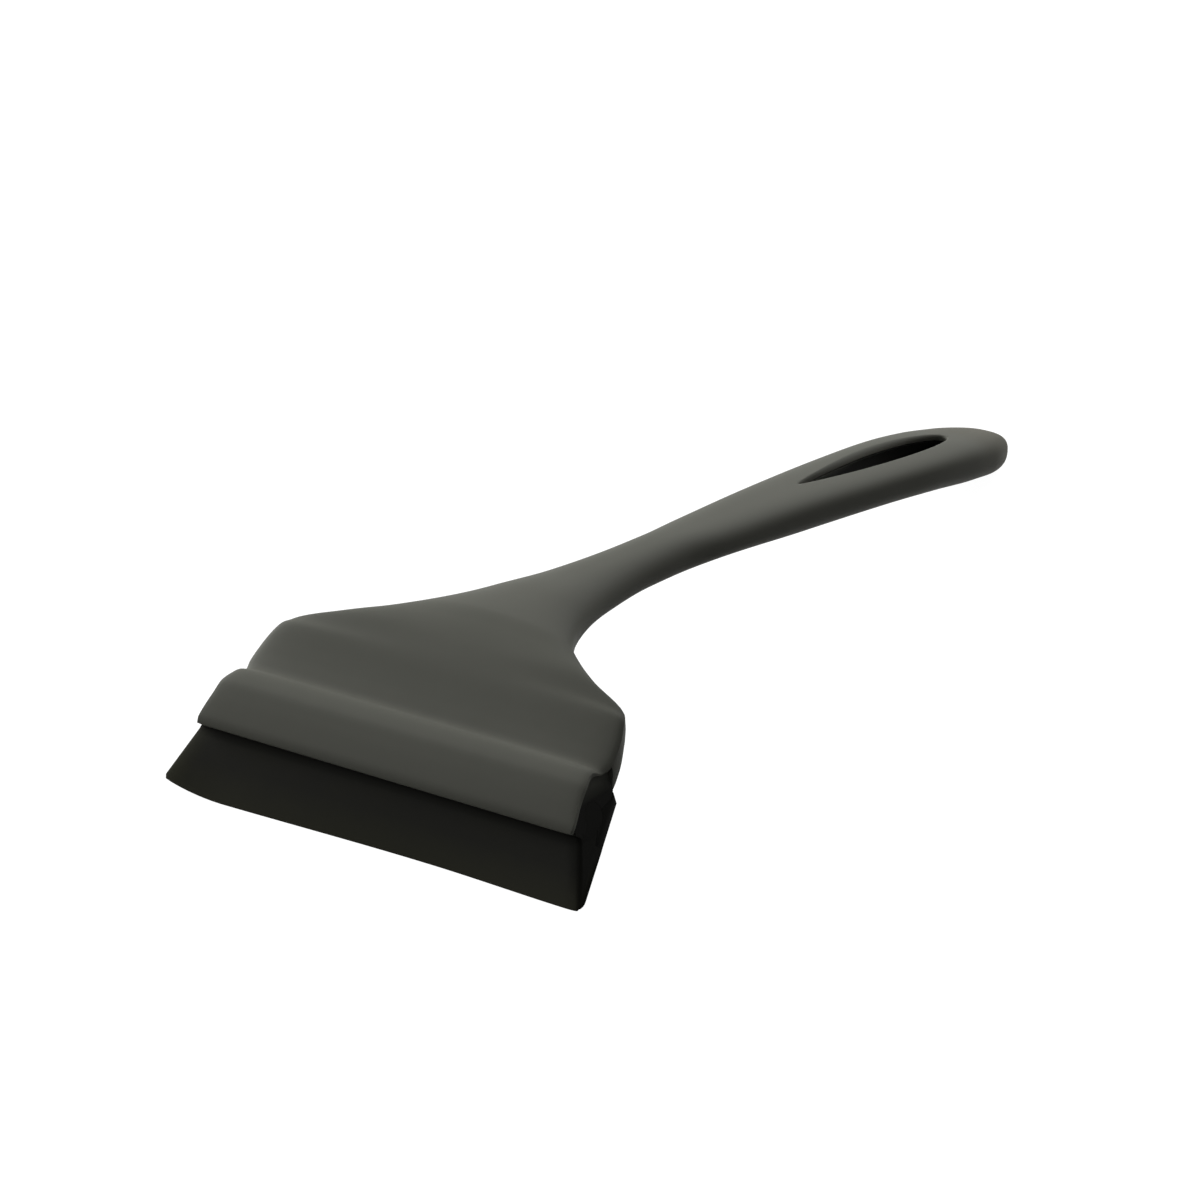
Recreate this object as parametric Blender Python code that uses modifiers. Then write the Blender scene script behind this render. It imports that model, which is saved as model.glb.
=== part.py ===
"""A hand squeegee with a fan-shaped head, a soft handle with a hanging slot, and a clamped rubber blade.

Units are metres and +Z is up. X runs across the blade and +Y from the blade's edge to the handle's tail.
The squeegee stands as it lies on a table, on the edge of its blade and the underside of its tail, and the
origin is in the middle of its length and width, on the table. Heights and places behind the blade's edge,
called back below, are counted from that edge.
"""

import math

import bmesh
import bpy
import numpy as np
from mathutils import Matrix

# Overall sizes
LENGTH = 0.3360
EDGE_WIDTH = 0.1400
HOOD_WIDTH = 0.1276

# Clearances
SEAT_GAP = 0.0003
SCREW_GAP = 0.0002

# The soft skin over the frame
SKIN_WALL = 0.0018

# The head, from the hood's lip to the neck: places behind the edge, widths and heights of the upper surface
LIP_BACK = 0.0052
LIP_TOP = 0.0200
LIP_THICKNESS = 0.0020
RIDGE_BACK = 0.0200
RIDGE_WIDTH = 0.1210
RIDGE_TOP = 0.0311
HOOD_DEPTH = 0.0092
VALLEY_BACK = 0.0243
VALLEY_WIDTH = 0.1216
VALLEY_TOP = 0.0303
SHOULDER_BACK = 0.0376
SHOULDER_WIDTH = 0.1180
SHOULDER_TOP = 0.0397
PANEL_DEPTH = 0.0105
HOOD_SQUARENESS = 16.0
PANEL_SQUARENESS = 8.0
NECK_BACK = 0.0600
NECK_WIDTH = 0.0536
NECK_TOP = 0.0490
NECK_DEPTH = 0.0094
NECK_FALL = 0.0022

# The handle
WAIST_BACK = 0.1450
WAIST_WIDTH = 0.0184
WAIST_TOP = 0.0410
WAIST_DEPTH = 0.0111
GRIP_BACK = 0.2808
GRIP_WIDTH = 0.0316
GRIP_TOP = 0.0228
GRIP_DEPTH = 0.0137
TAIL_WIDTH = 0.0262
TAIL_TOP = 0.0113
TAIL_ROUND = 0.0240
TAIL_BLUNTNESS = 3.0

# The body between those places. Each row gives shares of the way from one place to the next, for the place,
# the width and the height of the top. Then come shares of the depth there, for the part above the widest line
# and the part below it, the squareness of both, and a share of the neck's fall to the sides.
HOOD_ROWS = (
    (0.19, 0.18, 0.29, 0.24, 0.24, HOOD_SQUARENESS, HOOD_SQUARENESS, 0),
    (0.43, 0.45, 0.62, 0.35, 0.35, HOOD_SQUARENESS, HOOD_SQUARENESS, 0),
    (0.66, 0.60, 0.87, 0.43, 0.43, HOOD_SQUARENESS, HOOD_SQUARENESS, 0),
    (1.00, 1.00, 1.00, 0.50, 0.50, HOOD_SQUARENESS, HOOD_SQUARENESS, 0),
)
PANEL_ROWS = (
    (0.00, 0.00, 0.00, 0.48, 0.48, PANEL_SQUARENESS, PANEL_SQUARENESS, 0),
    (0.28, -0.45, 0.22, 0.50, 0.65, PANEL_SQUARENESS, PANEL_SQUARENESS, 0.12),
    (0.58, -0.15, 0.535, 0.50, 0.58, PANEL_SQUARENESS, PANEL_SQUARENESS, 0.10),
    (1.00, 1.00, 1.00, 0.50, 0.50, PANEL_SQUARENESS, PANEL_SQUARENESS, 0),
)
FAN_ROWS = (
    (0.161, 0.071, 0.256, 0.53, 0.53, 7.0, 7.0, 0.577),
    (0.388, 0.470, 0.559, 0.50, 0.50, 5.0, 5.0, 0.00),
    (0.688, 0.770, 0.835, 0.50, 0.50, 4.4, 4.4, 0.60),
    (1.000, 1.000, 1.000, 0.50, 0.50, 4.0, 4.0, 1.00),
)
WAIST_ROWS = (
    (0.224, 0.511, 0.106, 0.47, 0.51, 3.0, 3.0, 0.73),
    (0.484, 0.807, 0.438, 0.49, 0.50, 2.6, 2.6, 0.23),
    (0.799, 0.977, 0.788, 0.48, 0.51, 2.5, 2.4, 0),
    (1.000, 1.000, 1.000, 0.50, 0.49, 2.6, 2.4, 0),
)
GRIP_ROWS = (
    (0.147, 0.212, 0.140, 0.37, 0.40, 2.8, 2.4, 0),
    (0.449, 0.515, 0.407, 0.37, 0.53, 3.2, 2.4, 0),
    (0.789, 0.864, 0.761, 0.36, 0.58, 3.4, 2.4, 0),
    (1.000, 1.000, 1.000, 0.37, 0.63, 3.4, 2.4, 0),
)
TAIL_ROWS = (
    (0.330, 0.222, 0.278, 0.40, 0.66, 3.2, 2.4, 0),
    (0.620, 0.852, 0.591, 0.41, 0.63, 3.0, 2.4, 0),
    (0.821, 1.222, 0.817, 0.41, 0.63, 2.8, 2.4, 0),
    (1.000, 1.000, 1.000, 0.41, 0.61, 2.6, 2.4, 0),
)

# The hanging slot: a drop shape, blunt at the tail
SLOT_TAIL = 0.0320
SLOT_LENGTH = 0.0840
SLOT_WIDTH = 0.0104
SLOT_SKEW = 1.6
SLOT_FULLNESS = 0.42

# The blade, as seen from its end: angles of its faces from the table, and places along its own middle line
FRONT_ANGLE = math.radians(66.0)
REAR_ANGLE = math.radians(36.5)
EDGE_FLAT = 0.0015
ROOT_PLACE = 0.0176
NECK_THICKNESS = 0.0040
BEAD_PLACE = 0.0255
BEAD_RADIUS = 0.0035
FLEX_PLACE = 0.0120
FLEX_RADIUS = 0.0034
FLEX_ANGLE = math.radians(22.0)
FLEX_MARGIN = math.radians(6.0)
STIFFENER_HEIGHT = 0.0030
STIFFENER_THICKNESS = 0.0008
STIFFENER_INSET = 0.0022

# The ends of the blade and its jaws, which lean in from the edge up to the ridge
END_LEAN = math.radians(19.5)
TIP_ROUND_WIDTH = 0.0030
TIP_ROUND_HEIGHT = 0.0015

# The rear clamp jaw and its screws
CLAMP_CORNER_BACK = 0.0275
CLAMP_END_BACK = 0.0367
FLANGE_ANGLE = math.radians(45.0)
FLANGE_THICKNESS = 0.0022
FLANGE_END_INSET = 0.0068
RIM_WIDTH = 0.0012
SCREW_END_INSET = 0.0150
SCREW_INSET = 0.0032
SCREW_RADIUS = 0.00145
SCREW_LENGTH = 0.0058
SCREW_HEAD_RADIUS = 0.0028
SCREW_HEAD_HEIGHT = 0.0018
SCREW_STEPS = 20

# How finely the shapes are drawn
RING_HALF = 6
HEAD_STEP = 0.0030
HANDLE_STEP = 0.0120
TAIL_STEPS = 6
SLOT_STEPS = 12
TIP_STEPS = 4
ARC_STEP = math.radians(15.0)

# Cutters reach this far past what they cut
OVERSHOOT = 0.0060
DEEP = 0.0300

# Colours and finishes
SKIN_COLOUR = (0.075, 0.077, 0.066, 1.0)
FRAME_COLOUR = (0.012, 0.012, 0.011, 1.0)
RUBBER_COLOUR = (0.010, 0.010, 0.009, 1.0)
STEEL_COLOUR = (0.55, 0.55, 0.54, 1.0)


def body_rows():
    """Rows along the body: back, half width, top, rise of the top over the widest line, depth of the
    underside below it, squareness of the upper half, squareness of the lower half, fall to the sides."""
    lip = (LIP_BACK, HOOD_WIDTH / 2, LIP_TOP)
    ridge = (RIDGE_BACK, RIDGE_WIDTH / 2, RIDGE_TOP)
    valley = (VALLEY_BACK, VALLEY_WIDTH / 2, VALLEY_TOP)
    shoulder = (SHOULDER_BACK, SHOULDER_WIDTH / 2, SHOULDER_TOP)
    neck = (NECK_BACK, NECK_WIDTH / 2, NECK_TOP)
    waist = (WAIST_BACK, WAIST_WIDTH / 2, WAIST_TOP)
    grip = (GRIP_BACK, GRIP_WIDTH / 2, GRIP_TOP)
    tail = (LENGTH, TAIL_WIDTH / 2, TAIL_TOP)
    stretches = (
        (lip, ridge, HOOD_DEPTH, HOOD_ROWS),
        (valley, shoulder, PANEL_DEPTH, PANEL_ROWS),
        (shoulder, neck, NECK_DEPTH, FAN_ROWS),
        (neck, waist, WAIST_DEPTH, WAIST_ROWS),
        (waist, grip, GRIP_DEPTH, GRIP_ROWS),
        (grip, tail, GRIP_DEPTH, TAIL_ROWS),
    )
    rows = [(*lip, LIP_THICKNESS / 2, LIP_THICKNESS / 2, HOOD_SQUARENESS, HOOD_SQUARENESS, 0)]
    for start, end, thickness, table in stretches:
        for back, width, top, rise, depth, square_up, square_down, fall in table:
            place = [a + share * (b - a) for a, b, share in zip(start, end, (back, width, top))]
            halves = (rise * thickness, depth * thickness, square_up, square_down)
            rows.append((*place, *halves, fall * NECK_FALL))
    return rows


def smooth(places, values, at):
    """A smooth curve through the values that never swings past them."""
    steps = np.diff(places)
    slopes = np.diff(values) / steps
    tangents = np.zeros(len(values))
    for k in range(1, len(values) - 1):
        before, after = slopes[k - 1], slopes[k]
        if before * after > 0:
            weight = 2 * steps[k] + steps[k - 1]
            other = steps[k] + 2 * steps[k - 1]
            tangents[k] = (weight + other) / (weight / before + other / after)
    tangents[0], tangents[-1] = slopes[0], slopes[-1]
    k = int(np.clip(np.searchsorted(places, at) - 1, 0, len(steps) - 1))
    t = (at - places[k]) / steps[k]
    rise = values[k] + (3 * t**2 - 2 * t**3) * (values[k + 1] - values[k])
    lean = (t**3 - 2 * t**2 + t) * tangents[k] + (t**3 - t**2) * tangents[k + 1]
    return rise + lean * steps[k]


ROWS = np.array(body_rows())


def body_values(back):
    """The body's row of values at any place along it."""
    return [smooth(ROWS[:, 0], ROWS[:, column], back) for column in range(1, ROWS.shape[1])]


def steepness(back, edge):
    """How much longer an upright wall cuts than a square one, where the surface climbs."""
    step = 0.0005
    heights = []
    for place in (back - step, back + step):
        _, top, rise, depth, _, _, _ = body_values(place)
        heights.append(top - (rise + depth) * edge)
    return math.hypot(1, (heights[1] - heights[0]) / (2 * step))


def body_section(back, inset=0.0, half_width=None, floor=None, skin_below=True):
    """One ring round the body. An inset draws it inside the skin; a half width or a floor replaces the
    body's own, where the skin is open; without skin below, the underside keeps its own depth."""
    own_half, top, rise, depth, square_up, square_down, fall = body_values(back)
    widest = top - rise
    if inset:
        rise -= inset * steepness(back, 0)
        if skin_below:
            depth -= inset * steepness(back, 1)
    half = (own_half - inset) if half_width is None else half_width
    round_start = LENGTH - TAIL_ROUND
    if back > round_start:
        along = (back - round_start) / (TAIL_ROUND - inset)
        half *= math.sqrt(1 - along**2)
        flattening = (1 - along**TAIL_BLUNTNESS) ** (1 / TAIL_BLUNTNESS)
        rise *= flattening
        depth *= flattening
    ring = []
    for k in range(-RING_HALF, RING_HALF):
        across = math.sin(math.pi / 2 * k / RING_HALF)
        swell = (1 - abs(across) ** square_up) ** (1 / square_up)
        ring.append((across * half, back, widest - fall * across**2 + swell * rise))
    for k in range(-RING_HALF, RING_HALF):
        across = -math.sin(math.pi / 2 * k / RING_HALF)
        swell = (1 - abs(across) ** square_down) ** (1 / square_down)
        height = widest - fall * across**2 - swell * depth
        if floor is not None and k > -RING_HALF:
            across = -k / (RING_HALF - 1)
            height = floor
        ring.append((across * half, back, height))
    return ring


def stations(start, end):
    """Places of the rings from start to end: close in the head, wider apart in the handle, and drawn
    together in the round of the tail."""
    round_start = LENGTH - TAIL_ROUND
    head = [row for row in ROWS[:, 0] if start < row < NECK_BACK]
    places = [start] + head + [NECK_BACK]
    fine = []
    for low, high in zip(places[:-1], places[1:]):
        count = max(1, round((high - low) / HEAD_STEP))
        fine += [low + (high - low) * k / count for k in range(count)]
    count = round((round_start - NECK_BACK) / HANDLE_STEP)
    fine += [NECK_BACK + (round_start - NECK_BACK) * k / count for k in range(count)]
    reach = end - round_start
    fine += [round_start + reach * math.sin(math.pi / 2 * k / TAIL_STEPS) for k in range(TAIL_STEPS)]
    return fine + [round_start + 0.997 * reach]


# Where the slot starts and how far the flange and the outer screws lie from the middle
SLOT_START = LENGTH - SLOT_TAIL - SLOT_LENGTH
FLANGE_HALF = HOOD_WIDTH / 2 - FLANGE_END_INSET
SCREW_SPACING = FLANGE_HALF - SCREW_END_INSET

# The blade's own middle line, halfway between its faces, from the middle of the edge
MIDDLE_ANGLE = (FRONT_ANGLE + REAR_ANGLE) / 2
HALF_WEDGE = (FRONT_ANGLE - REAR_ANGLE) / 2
SKIN_OPEN_BACK = CLAMP_END_BACK + SEAT_GAP + RIM_WIDTH


def blade_point(along, across):
    """A point given along the blade's middle line and across it, towards the rear, as back and height."""
    back = EDGE_FLAT / 2 + along * math.cos(MIDDLE_ANGLE) + across * math.sin(MIDDLE_ANGLE)
    height = along * math.sin(MIDDLE_ANGLE) - across * math.cos(MIDDLE_ANGLE)
    return back, height


def face_across(along, side):
    """How far the front face (side -1) or rear face (side 1) lies from the middle line."""
    edge_along = side * EDGE_FLAT / 2 * math.cos(MIDDLE_ANGLE)
    edge_across = EDGE_FLAT / 2 * math.sin(MIDDLE_ANGLE)
    return side * (edge_across + (along - edge_along) * math.tan(HALF_WEDGE))


def arc(centre, radius, start, end):
    """Points on a round stretch, from one angle to another, ends included."""
    count = max(2, round(abs(end - start) / ARC_STEP))
    angles = [start + (end - start) * k / count for k in range(count + 1)]
    return [(centre[0] + radius * math.cos(a), centre[1] + radius * math.sin(a)) for a in angles]


def clear_scene():
    for old in list(bpy.data.objects):
        bpy.data.objects.remove(old, do_unlink=True)


def new_collection(name):
    collection = bpy.data.collections.new(name)
    bpy.context.scene.collection.children.link(collection)
    return collection


def new_material(name, colour, roughness, metallic=0.0):
    material = bpy.data.materials.new(name)
    material.use_nodes = True
    shader = material.node_tree.nodes["Principled BSDF"]
    shader.inputs["Base Color"].default_value = colour
    shader.inputs["Roughness"].default_value = roughness
    shader.inputs["Metallic"].default_value = metallic
    material.diffuse_color = colour
    return material


def place_mesh(mesh, name, collection, material=None):
    obj = bpy.data.objects.new(name, mesh)
    collection.objects.link(obj)
    if material:
        mesh.materials.append(material)
    else:
        obj.hide_render = True
        obj.display_type = "WIRE"
    return obj


def loft(name, rings, collection, material=None):
    """A closed skin through rings of equally many points."""
    shape = bmesh.new()
    loops = [[shape.verts.new(point) for point in ring] for ring in rings]
    for first, second in zip(loops[:-1], loops[1:]):
        for k in range(len(first)):
            after = (k + 1) % len(first)
            shape.faces.new((first[k], first[after], second[after], second[k]))
    shape.faces.new(loops[0][::-1])
    shape.faces.new(loops[-1])
    bmesh.ops.recalc_face_normals(shape, faces=shape.faces)
    mesh = bpy.data.meshes.new(name)
    shape.to_mesh(mesh)
    shape.free()
    return place_mesh(mesh, name, collection, material)


def outline_bar(name, outline, half_length, turn, collection, material=None):
    """A flat outline drawn out to a bar: a filled curve, turned into place and made a mesh."""
    curve = bpy.data.curves.new(name, "CURVE")
    curve.dimensions = "2D"
    curve.fill_mode = "BOTH"
    curve.extrude = half_length
    spline = curve.splines.new("POLY")
    spline.points.add(len(outline) - 1)
    for point, place in zip(spline.points, outline):
        point.co = (place[0], place[1], 0, 1)
    spline.use_cyclic_u = True
    guide = bpy.data.objects.new(name, curve)
    collection.objects.link(guide)
    bpy.context.view_layer.update()
    mesh = bpy.data.meshes.new_from_object(guide.evaluated_get(bpy.context.evaluated_depsgraph_get()))
    bpy.data.objects.remove(guide, do_unlink=True)
    shape = bmesh.new()
    shape.from_mesh(mesh)
    bmesh.ops.remove_doubles(shape, verts=shape.verts, dist=1e-6)
    bmesh.ops.transform(shape, matrix=turn, verts=shape.verts)
    bmesh.ops.recalc_face_normals(shape, faces=shape.faces)
    shape.to_mesh(mesh)
    shape.free()
    mesh.materials.clear()
    return place_mesh(mesh, name, collection, material)


# Half the length of the bars across, before their ends are cut to the lean
BAR_HALF = EDGE_WIDTH / 2 + OVERSHOOT

# An outline of back and height becomes a bar across the squeegee, one of across and height a bar along it,
# and one of across and back stands upright
ACROSS = Matrix(((0, 0, 1, 0), (1, 0, 0, 0), (0, 1, 0, 0), (0, 0, 0, 1)))
ALONG = Matrix(((1, 0, 0, 0), (0, 0, 1, 0), (0, 1, 0, 0), (0, 0, 0, 1)))
UPRIGHT = Matrix.Identity(4)


def box_cutter(name, low, high, collection):
    """A box between two corners."""
    shape = bmesh.new()
    bmesh.ops.create_cube(shape, size=1)
    size = [b - a for a, b in zip(low, high)]
    middle = [(a + b) / 2 for a, b in zip(low, high)]
    turn = Matrix.Translation(middle) @ Matrix.Diagonal((*size, 1))
    bmesh.ops.transform(shape, matrix=turn, verts=shape.verts)
    mesh = bpy.data.meshes.new(name)
    shape.to_mesh(mesh)
    shape.free()
    return place_mesh(mesh, name, collection)


def cut(target, *cutters):
    for cutter in cutters:
        boolean = target.modifiers.new("cut_" + cutter.name, "BOOLEAN")
        boolean.operation = "DIFFERENCE"
        boolean.solver = "EXACT"
        boolean.object = cutter


def slot_outline(widening):
    """The hanging slot seen from above, as a drop with its point towards the head."""
    length = SLOT_LENGTH + 2 * widening
    half = SLOT_WIDTH / 2 + widening
    points = []
    for side in (1, -1):
        for k in range(SLOT_STEPS):
            share = (1 - math.cos(math.pi * k / SLOT_STEPS)) / 2
            along = share if side > 0 else 1 - share
            across = half * math.sin(math.pi * along**SLOT_SKEW) ** SLOT_FULLNESS if 0 < along < 1 else 0
            points.append((side * across, SLOT_START - widening + length * along))
    return points


def slot_cutter(name, widening, collection):
    return outline_bar(name, slot_outline(widening), 2 * DEEP, UPRIGHT, collection)


def inner_rings(start, inset, side_break, floor_break, floor, skin_below):
    """Rings of what the skin holds. Up to the side break its ends are open and it reaches deep; up to the
    floor break it reaches the floor, or the body's own underside where there is none; then it is closed."""

    def ring(place):
        if place < side_break:
            return body_section(place, inset, half_width=HOOD_WIDTH / 2 + OVERSHOOT, floor=-DEEP)
        if place < floor_break:
            return body_section(place, inset, floor=floor, skin_below=skin_below)
        return body_section(place, inset)

    step = SEAT_GAP / 3
    places = stations(start, LENGTH - inset)
    for stop in (side_break, floor_break):
        places = [place for place in places if abs(place - stop) > 2 * step]
        places += [stop - step, stop + step]
    return [ring(place) for place in sorted(places)]


def make_skin(parts, cutters, material):
    """The soft skin: all of the body but the frame's space, open over the jaws and at the slot."""
    rings = [body_section(back) for back in stations(LIP_BACK, LENGTH)]
    skin = loft("soft_grip_skin", rings, parts, material)
    side_break = CLAMP_CORNER_BACK + SEAT_GAP
    start = LIP_BACK + LIP_THICKNESS / 2
    space = inner_rings(start, SKIN_WALL, side_break, SKIN_OPEN_BACK + SEAT_GAP, -DEEP, True)
    cut(skin, loft("frame_space", space, cutters))
    cut(skin, slot_cutter("skin_slot", SEAT_GAP, cutters))
    low, high = (-EDGE_WIDTH, NECK_BACK, -DEEP), (EDGE_WIDTH, LENGTH + OVERSHOOT, 0)
    cut(skin, box_cutter("table", low, high, cutters))


def clamp_outline(gap):
    """The end view of the rear jaw, or with a gap, of the room that it and the blade need in the frame."""
    flange_along = (math.cos(FLANGE_ANGLE), math.sin(FLANGE_ANGLE))
    flange_up = (-math.sin(FLANGE_ANGLE), math.cos(FLANGE_ANGLE))
    corner = clamp_corner()
    depth = FLANGE_THICKNESS + gap
    inner = (corner[0] + flange_up[0] * depth, corner[1] + flange_up[1] * depth)
    end_back = CLAMP_END_BACK + gap
    reach = (end_back - inner[0]) / flange_along[0]
    inner_end = (end_back, inner[1] + reach * flange_along[1])
    outer_end = (end_back, corner[1] + (end_back - corner[0]) / flange_along[0] * flange_along[1])
    return corner, inner, inner_end, outer_end


def clamp_corner():
    """Where the jaw's outer face, in line with the blade's rear face, turns up along the flange."""
    back = CLAMP_CORNER_BACK
    return back, (back - EDGE_FLAT) * math.tan(REAR_ANGLE)


def channel_side(side):
    """The side of the neck's slit, from the jaws' mouth up to the bead's channel."""
    half = NECK_THICKNESS / 2 + SEAT_GAP
    return blade_point(ROOT_PLACE + SEAT_GAP, side * half)


def parting_angle(inner):
    """The direction from the bead's middle to the parting line's outer end."""
    centre = blade_point(BEAD_PLACE, 0)
    return math.atan2(inner[1] - centre[1], inner[0] - centre[0])


def make_clamp_room(cutters):
    """The room in the frame for the blade's root, the rear jaw and its flange."""
    _, inner, inner_end, _ = clamp_outline(SEAT_GAP)
    channel = BEAD_RADIUS + SEAT_GAP
    half = NECK_THICKNESS / 2 + SEAT_GAP
    centre = blade_point(BEAD_PLACE, 0)
    front = MIDDLE_ANGLE + math.pi - math.asin(half / channel)
    outline = [blade_point(ROOT_PLACE + SEAT_GAP, -DEEP), channel_side(-1)]
    outline += arc(centre, channel, front, parting_angle(inner))
    outline += [inner, inner_end, (inner_end[0], -2 * DEEP), (-DEEP, -2 * DEEP)]
    room = outline_bar("clamp_room", outline, BAR_HALF, ACROSS, cutters)
    for side in (-1, 1):
        cut(room, flange_notch("room_notch", side, SEAT_GAP, cutters))
    return room


def flange_notch(name, side, gap, cutters):
    """What is cut from beside the flange, where the frame reaches down as a rim."""
    inner_side = FLANGE_HALF + gap
    outer_side = HOOD_WIDTH / 2 + 2 * OVERSHOOT
    low = (min(side * inner_side, side * outer_side), CLAMP_CORNER_BACK + gap, -2 * DEEP)
    high = (max(side * inner_side, side * outer_side), CLAMP_END_BACK + OVERSHOOT, 2 * DEEP)
    return box_cutter(f"{name}_{side}", low, high, cutters)


def make_clamp(parts, cutters, material, ends):
    """The rear jaw: a lip behind the blade, a curved inner face round the bead, and a flat flange."""
    corner, inner, inner_end, outer_end = clamp_outline(0)
    channel = BEAD_RADIUS + SEAT_GAP
    half = NECK_THICKNESS / 2 + SEAT_GAP
    centre = blade_point(BEAD_PLACE, 0)
    rear = MIDDLE_ANGLE - math.pi + math.asin(half / channel)
    mouth = ROOT_PLACE + SEAT_GAP
    outline = [channel_side(1), blade_point(mouth, face_across(mouth, 1))]
    outline += [corner, outer_end, inner_end, inner]
    outline += arc(centre, channel, parting_angle(inner), rear)
    clamp = outline_bar("rear_clamp_jaw", outline, BAR_HALF, ACROSS, parts, material)
    cut(clamp, *ends)
    for side in (-1, 1):
        cut(clamp, flange_notch("flange_notch", side, 0, cutters))
    return clamp


def make_frame(parts, cutters, material, ends):
    """The stiff frame: front jaw under the hood, fan, spine bar and the ring round the hanging slot."""
    inset = SKIN_WALL + SEAT_GAP
    start = LIP_BACK + LIP_THICKNESS
    rings = inner_rings(start, inset, CLAMP_CORNER_BACK, SKIN_OPEN_BACK, None, False)
    frame = loft("core_frame", rings, parts, material)
    cut(frame, make_clamp_room(cutters), slot_cutter("frame_slot", 0, cutters), *ends)
    return frame


def end_cutters(cutters):
    """What lies past the ends of the blade and its jaws: they lean in from the rounded tips of the edge up to
    the ridge."""
    jaw_half = EDGE_WIDTH / 2 - RIDGE_TOP * math.tan(END_LEAN)
    round_end = EDGE_WIDTH / 2 - TIP_ROUND_HEIGHT * math.tan(END_LEAN)
    round_start = round_end - TIP_ROUND_WIDTH
    outline = [(round_start, -2 * DEEP), (round_start, -SEAT_GAP)]
    for k in range(1, TIP_STEPS + 1):
        turn = math.pi / 2 * k / TIP_STEPS
        across = round_start + TIP_ROUND_WIDTH * math.sin(turn)
        outline.append((across, TIP_ROUND_HEIGHT * (1 - math.cos(turn))))
    outline += [(jaw_half, RIDGE_TOP), (jaw_half, 3 * DEEP), (EDGE_WIDTH, 3 * DEEP), (EDGE_WIDTH, -2 * DEEP)]
    found = []
    for side, label in ((-1, "left"), (1, "right")):
        mirrored = [(side * across, height) for across, height in outline]
        found.append(outline_bar("end_" + label, mirrored, 3 * DEEP, ALONG, cutters))
    return found


def screw_turn(across):
    """Turns an upright screw so that its head faces out of the flange, at its place across the head."""
    corner = clamp_corner()
    back = corner[0] + SCREW_INSET * math.cos(FLANGE_ANGLE)
    height = corner[1] + SCREW_INSET * math.sin(FLANGE_ANGLE)
    tilt = Matrix.Rotation(FLANGE_ANGLE - math.pi, 4, "X")
    return Matrix.Translation((across, back, height)) @ tilt


def turned(name, profile, collection, material=None):
    """A profile of radius and height, turned about the upright axis, from the top down."""
    mesh = bpy.data.meshes.new(name)
    edges = [(k, k + 1) for k in range(len(profile) - 1)]
    mesh.from_pydata([(radius, 0, height) for radius, height in profile], edges, [])
    obj = place_mesh(mesh, name, collection, material)
    screw = obj.modifiers.new("turn", "SCREW")
    screw.axis = "Z"
    screw.steps = SCREW_STEPS
    screw.render_steps = SCREW_STEPS
    screw.use_merge_vertices = True
    screw.merge_threshold = 1e-5
    return obj


def make_screws(parts, cutters, material, frame, clamp):
    """Three short pan-head screws through the flange into the frame's thick part behind the bead."""
    point = SCREW_LENGTH - SCREW_RADIUS
    head = [
        (0, SEAT_GAP + SCREW_HEAD_HEIGHT),
        (0.6 * SCREW_HEAD_RADIUS, SEAT_GAP + SCREW_HEAD_HEIGHT),
        (SCREW_HEAD_RADIUS, SEAT_GAP + 0.5 * SCREW_HEAD_HEIGHT),
        (SCREW_HEAD_RADIUS, SEAT_GAP),
    ]
    shank = [(SCREW_RADIUS, SEAT_GAP), (SCREW_RADIUS, -point), (0, -SCREW_LENGTH)]
    hole = SCREW_RADIUS + SCREW_GAP
    depth = -SCREW_LENGTH - SEAT_GAP
    bore = [(0, OVERSHOOT), (hole, OVERSHOOT), (hole, -point - SEAT_GAP), (0, depth)]
    for label, place in (("left", -1), ("middle", 0), ("right", 1)):
        turn = screw_turn(place * SCREW_SPACING)
        turned("clamp_screw_" + label, head + shank, parts, material).matrix_basis = turn
        drill = turned("drill_" + label, bore, cutters)
        drill.matrix_basis = turn
        cut(frame, drill)
        cut(clamp, drill)


def stiffener_outline(gap):
    """The end view of the stiffener, or with a gap, of its slit in the bead."""
    high = STIFFENER_HEIGHT / 2 + gap
    wide = STIFFENER_THICKNESS / 2 + gap
    corners = ((-high, -wide), (-high, wide), (high, wide), (high, -wide))
    return [blade_point(BEAD_PLACE + along, across) for along, across in corners]


def make_root(parts, cutters, material, ends):
    """The blade's root: the wedge's thick part with a round socket below, and above it a neck and bead."""
    half_neck = NECK_THICKNESS / 2
    neck_reach = math.pi - math.asin(half_neck / BEAD_RADIUS)
    socket = FLEX_RADIUS + SEAT_GAP
    rim = FLEX_ANGLE + FLEX_MARGIN
    rim_place = FLEX_PLACE + socket * math.sin(rim)
    outline = [blade_point(place, face_across(place, 1)) for place in (rim_place, ROOT_PLACE)]
    outline.append(blade_point(ROOT_PLACE, half_neck))
    bead_start, bead_end = MIDDLE_ANGLE - neck_reach, MIDDLE_ANGLE + neck_reach
    outline += arc(blade_point(BEAD_PLACE, 0), BEAD_RADIUS, bead_start, bead_end)
    outline.append(blade_point(ROOT_PLACE, -half_neck))
    outline += [blade_point(place, face_across(place, -1)) for place in (ROOT_PLACE, rim_place)]
    front = MIDDLE_ANGLE + math.pi / 2 - rim
    rear = MIDDLE_ANGLE - math.pi / 2 + rim
    outline += arc(blade_point(FLEX_PLACE, 0), socket, front, rear)
    root = outline_bar("blade_root", outline, BAR_HALF, ACROSS, parts, material)
    slit = outline_bar("stiffener_slit", stiffener_outline(SEAT_GAP), EDGE_WIDTH, ACROSS, cutters)
    cut(root, slit, *ends)
    return root


def make_stiffener(parts, material):
    """The flat strip that keeps the bead straight in its channel."""
    half_length = HOOD_WIDTH / 2 - STIFFENER_INSET
    return outline_bar("blade_stiffener", stiffener_outline(0), half_length, ACROSS, parts, material)


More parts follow.
